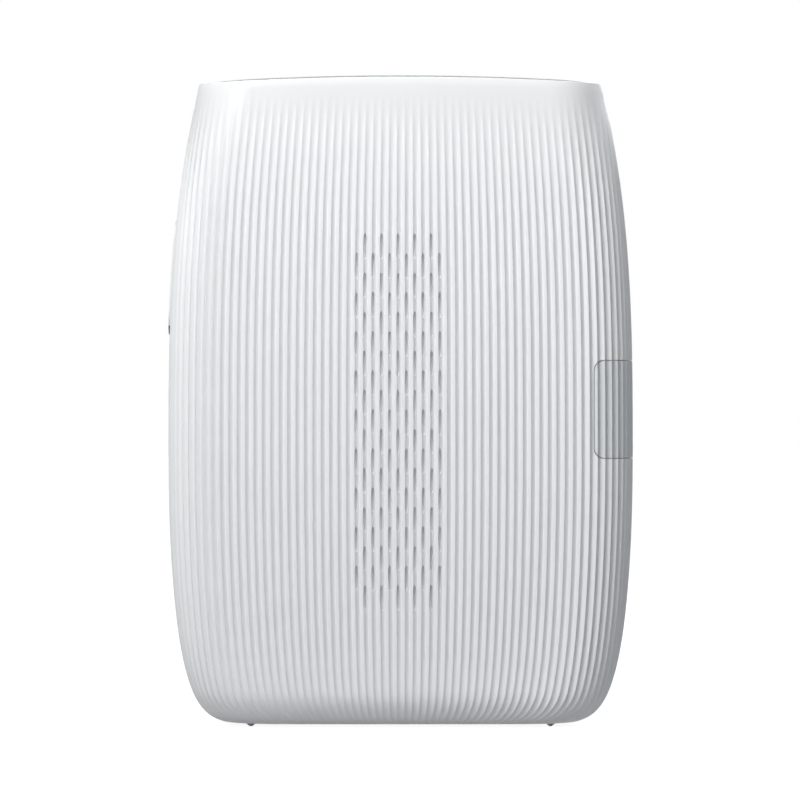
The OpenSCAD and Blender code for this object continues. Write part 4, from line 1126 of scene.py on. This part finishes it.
# %% Metals
def metal(name, colour, tarnish, rough, stretch, depth_mm=0.006, patch_mm=4.0, pores=0.0):
    blank(name)
    height = lines = effect(brush, Stretch=stretch)["Lines"]
    light = [min(1.0, c * 1.25 + 0.05) for c in colour]
    look = worn(toned(colour, tarnish, patch_mm), light, 0.5, width=0.2)
    if pores:
        hole = span(cells(object_mm(), 7.0), 0.28, 0.16)
        look = blend(times(hole, pores), look, (0.16, 0.10, 0.05, 1))
        height = math_node("SUBTRACT", lines, hole)
    finish(Base_Color=look, Roughness=span(lines, 0.3, 0.7, rough - 0.07, rough + 0.09),
           Normal=relief(height, depth_mm), Metallic=1.0)


metal("steel", (0.62, 0.62, 0.63), (0.54, 0.54, 0.55), rough=0.32, stretch=(8.0, 8.0, 0.12))
metal("bright_steel", (0.78, 0.78, 0.79), (0.70, 0.695, 0.68), rough=0.2,
      stretch=(0.1, 9.0, 9.0), depth_mm=0.003)
metal("dark_steel", (0.20, 0.20, 0.212), (0.13, 0.13, 0.14), rough=0.42, stretch=(0.3, 5.0, 5.0))
metal("brass", (0.74, 0.58, 0.28), (0.60, 0.42, 0.19), rough=0.34,
      stretch=(2.5, 2.5, 2.5), depth_mm=0.008, patch_mm=2.0, pores=0.7)

# %% [markdown]
# ## Finishes: electronics
# A circuit board is copper tracks under green varnish. Brick patterns stand for the routed
# tracks, and small rings for the plated holes. The battery is a soft foil pouch, so it gets
# shallow creases; the ribbon cable shows its parallel conductors through the amber film.

# %% Circuit board
blank("board_green")
flat = add("SeparateXYZ", {0: object_mm()}).outputs
plane = add("CombineXYZ", {"X": flat["X"], "Y": flat["Z"]}).outputs[0]
tracks = add("TexBrick", {"Vector": plane, "Scale": 1.0, "Mortar Size": 0.13,
                          "Mortar Smooth": 0.1, "Brick Width": 3.4, "Row Height": 0.62},
             offset=0.37, squash=0.6, squash_frequency=3).outputs["Fac"]
routed = span(noise(plane, 0.22, 1.0), 0.46, 0.5)
copper = times(tracks, routed)
dots = cells(plane, 0.42, randomness=0.8)
via = times(span(dots, 0.14, 0.12), span(dots, 0.05, 0.07))
varnish = blend(copper, (0.018, 0.12, 0.055, 1), (0.05, 0.27, 0.12, 1))
finish(Base_Color=blend(via, varnish, (0.72, 0.56, 0.25, 1)), Metallic=via,
       Roughness=handled(0.3, 0.22),
       Normal=relief(math_node("MAXIMUM", copper, via), 0.03))

# %% Battery pouch
blank("battery_grey")
creases = math_node("ADD", noise(object_mm(), 0.16, 3.0, 0.5, 1.0),
                    times(noise(object_mm(), 0.9, 2.0), 0.25))
finish(Base_Color=toned((0.58, 0.60, 0.63), (0.5, 0.52, 0.56), 6.0), Metallic=0.7,
       Roughness=span(creases, 0.4, 0.85, 0.26, 0.4), Normal=relief(creases, 0.22))

# %% Ribbon cable
WIRES_PER_MM = 1.6
blank("flex_amber")
across = add("SeparateXYZ", {0: object_mm()}).outputs["X"]
saw = math_node("FRACT", times(across, WIRES_PER_MM))
wire = span(math_node("ABSOLUTE", math_node("SUBTRACT", saw, 0.5)), 0.2, 0.26)
film = toned((0.60, 0.30, 0.05), (0.50, 0.23, 0.035), 5.0)
finish(Base_Color=blend(times(wire, 0.75), film, (0.72, 0.42, 0.16, 1)),
       Roughness=handled(0.22, 0.14), Normal=relief(wire, 0.02), Coat_Weight=0.5)

# %% [markdown]
# ## Finishes: the clear parts
# The door's window and the lens bar of the print head are clear. Glass needs a full
# transmission weight; fine scuffs on the outside keep it from looking like a hole.

# %% Window and lens
def clear(name, colour, other, clean, rubbed, ior, depth_mm):
    blank(name)
    touch = effect(marks, Clean=clean, Rubbed=rubbed)
    scuffed = math_node("ADD", touch["Roughness"], times(touch["Scuffs"], 0.25))
    finish(Base_Color=toned(colour, other, 7.0), Roughness=scuffed, IOR=ior,
           Normal=relief(touch["Scuffs"], depth_mm), Transmission_Weight=1.0)


clear("window_clear", (0.90, 0.86, 0.66), (0.87, 0.83, 0.62),
      clean=0.09, rubbed=0.03, ior=1.49, depth_mm=0.002)
clear("lens_glass", (0.90, 0.96, 0.98), (0.86, 0.93, 0.96),
      clean=0.04, rubbed=0.01, ior=1.6, depth_mm=0.001)
print(len(finishes), "finishes")

# %% Give every piece and every engineering solid its finish
own_finish = {"power_button": "power_button_grey", "function_button": "function_button_grey",
              "painted_shade_ring": "shade_line_grey"}


def dress(obj, look):
    obj.data.materials.clear()
    obj.data.materials.append(finishes[look])


for node, solid in nodes.items():
    for obj in (solid, pieces.get(node)):
        if obj and obj.data:
            dress(obj, own_finish.get(node, slot_of[node]))
for piece, (_, slot) in extras.items():
    dress(piece, own_finish.get(piece.name, slot))
print("finished:", sorted({slot_of[n] for n in nodes}))

# %% [markdown]
# ## A plain studio
# The floor and the world look white to the camera and to mirrors, but give the object only a
# little light, slightly blue, as in a white room by day. A soft lamp to the left draws the
# flutes. A second one above, near the casing, makes the top brighter than the sole. Weak lamps
# on the right and a wide one far behind open the shaded flanks.

# %% What looks white to the camera and to mirrors
WHITE = (1, 1, 1, 1)


def seen_directly():
    """1 for the camera, for a reflection and through glass, 0 for the light on a surface."""
    path = add("LightPath").outputs
    mirrored = math_node("MAXIMUM", path["Is Glossy Ray"], path["Is Transmission Ray"])
    return math_node("MAXIMUM", path["Is Camera Ray"], mirrored)


# %% Floor that looks white but keeps the shadow
PAPER = (0.392, 0.396, 0.408, 1)
PAPER_ROUGH, FLOOR_GLOW, FLOOR_SIZE = 0.9, 0.9, 6
floor_bm = bmesh.new()
bmesh.ops.create_grid(floor_bm, x_segments=1, y_segments=1, size=FLOOR_SIZE)
floor = to_object(floor_bm, "studio_floor")
blank("pale_paper")
finish(Base_Color=PAPER, Roughness=PAPER_ROUGH)
glow = add("Emission", {"Color": WHITE, "Strength": times(seen_directly(), FLOOR_GLOW)})
both = add("AddShader", {0: node_of("BSDF_PRINCIPLED").outputs[0], 1: glow.outputs[0]}).outputs[0]
put(tree.nodes["Material Output"], {"Surface": both})
dress(floor, "pale_paper")
print("floor:", tuple(floor.dimensions))

# %% World that is white to the camera and a soft fill to the object
FILL, FILL_TINT = 0.13, (0.94, 0.955, 1.0, 1)
world = bpy.data.worlds.new("studio")
world.use_nodes = True
bpy.context.scene.world = world
tree = world.node_tree
seen = seen_directly()
put(node_of("BACKGROUND"), {"Strength": span(seen, 0, 1, FILL, 1.0),
                           "Color": blend(seen, FILL_TINT, WHITE)})
print("fill:", FILL)

# %% Lamps
LAMP_AIM = Vector((0, 0, 0.07))


def lamp(name, place, size, watts, tint=(1, 1, 1)):
    data = bpy.data.lights.new(name, "AREA")
    data.shape, data.size, data.energy, data.color = "DISK", size, watts, tint
    obj = bpy.data.objects.new(name, data)
    obj.location = place
    obj.rotation_euler = (LAMP_AIM - Vector(place)).to_track_quat("-Z", "Y").to_euler()
    bpy.context.scene.collection.objects.link(obj)


lamp("key_left", (-0.400, -0.615, 0.226), size=0.25, watts=1.34)
lamp("top_left", (-0.08, -0.20, 0.33), size=0.2, watts=0.77)
lamp("near_right", (0.09, -0.09, 0.178), size=0.06, watts=0.017)
lamp("side_right", (0.52, 0.30, 0.17), size=0.3, watts=0.55, tint=(0.93, 0.96, 1.0))
lamp("back_soft", (0.25, 0.8, 0.45), size=0.6, watts=2.8)
print("lamps:", [light.name for light in bpy.data.lights])

# %% Camera
CAMERA_AT = (-0.00013, -1.099, 0.06319)
LENS_MM, SENSOR_MM = 253.4, 36.0
NEAREST, FARTHEST = 0.05, 30.0
camera = bpy.data.objects.new("camera", bpy.data.cameras.new("camera"))
camera.data.lens, camera.data.sensor_width = LENS_MM, SENSOR_MM
camera.data.clip_start, camera.data.clip_end = NEAREST, FARTHEST
camera.location = CAMERA_AT
camera.rotation_euler = (math.pi / 2, 0, 0)
bpy.context.scene.collection.objects.link(camera)
bpy.context.scene.camera = camera
bpy.context.scene.view_settings.view_transform = "Standard"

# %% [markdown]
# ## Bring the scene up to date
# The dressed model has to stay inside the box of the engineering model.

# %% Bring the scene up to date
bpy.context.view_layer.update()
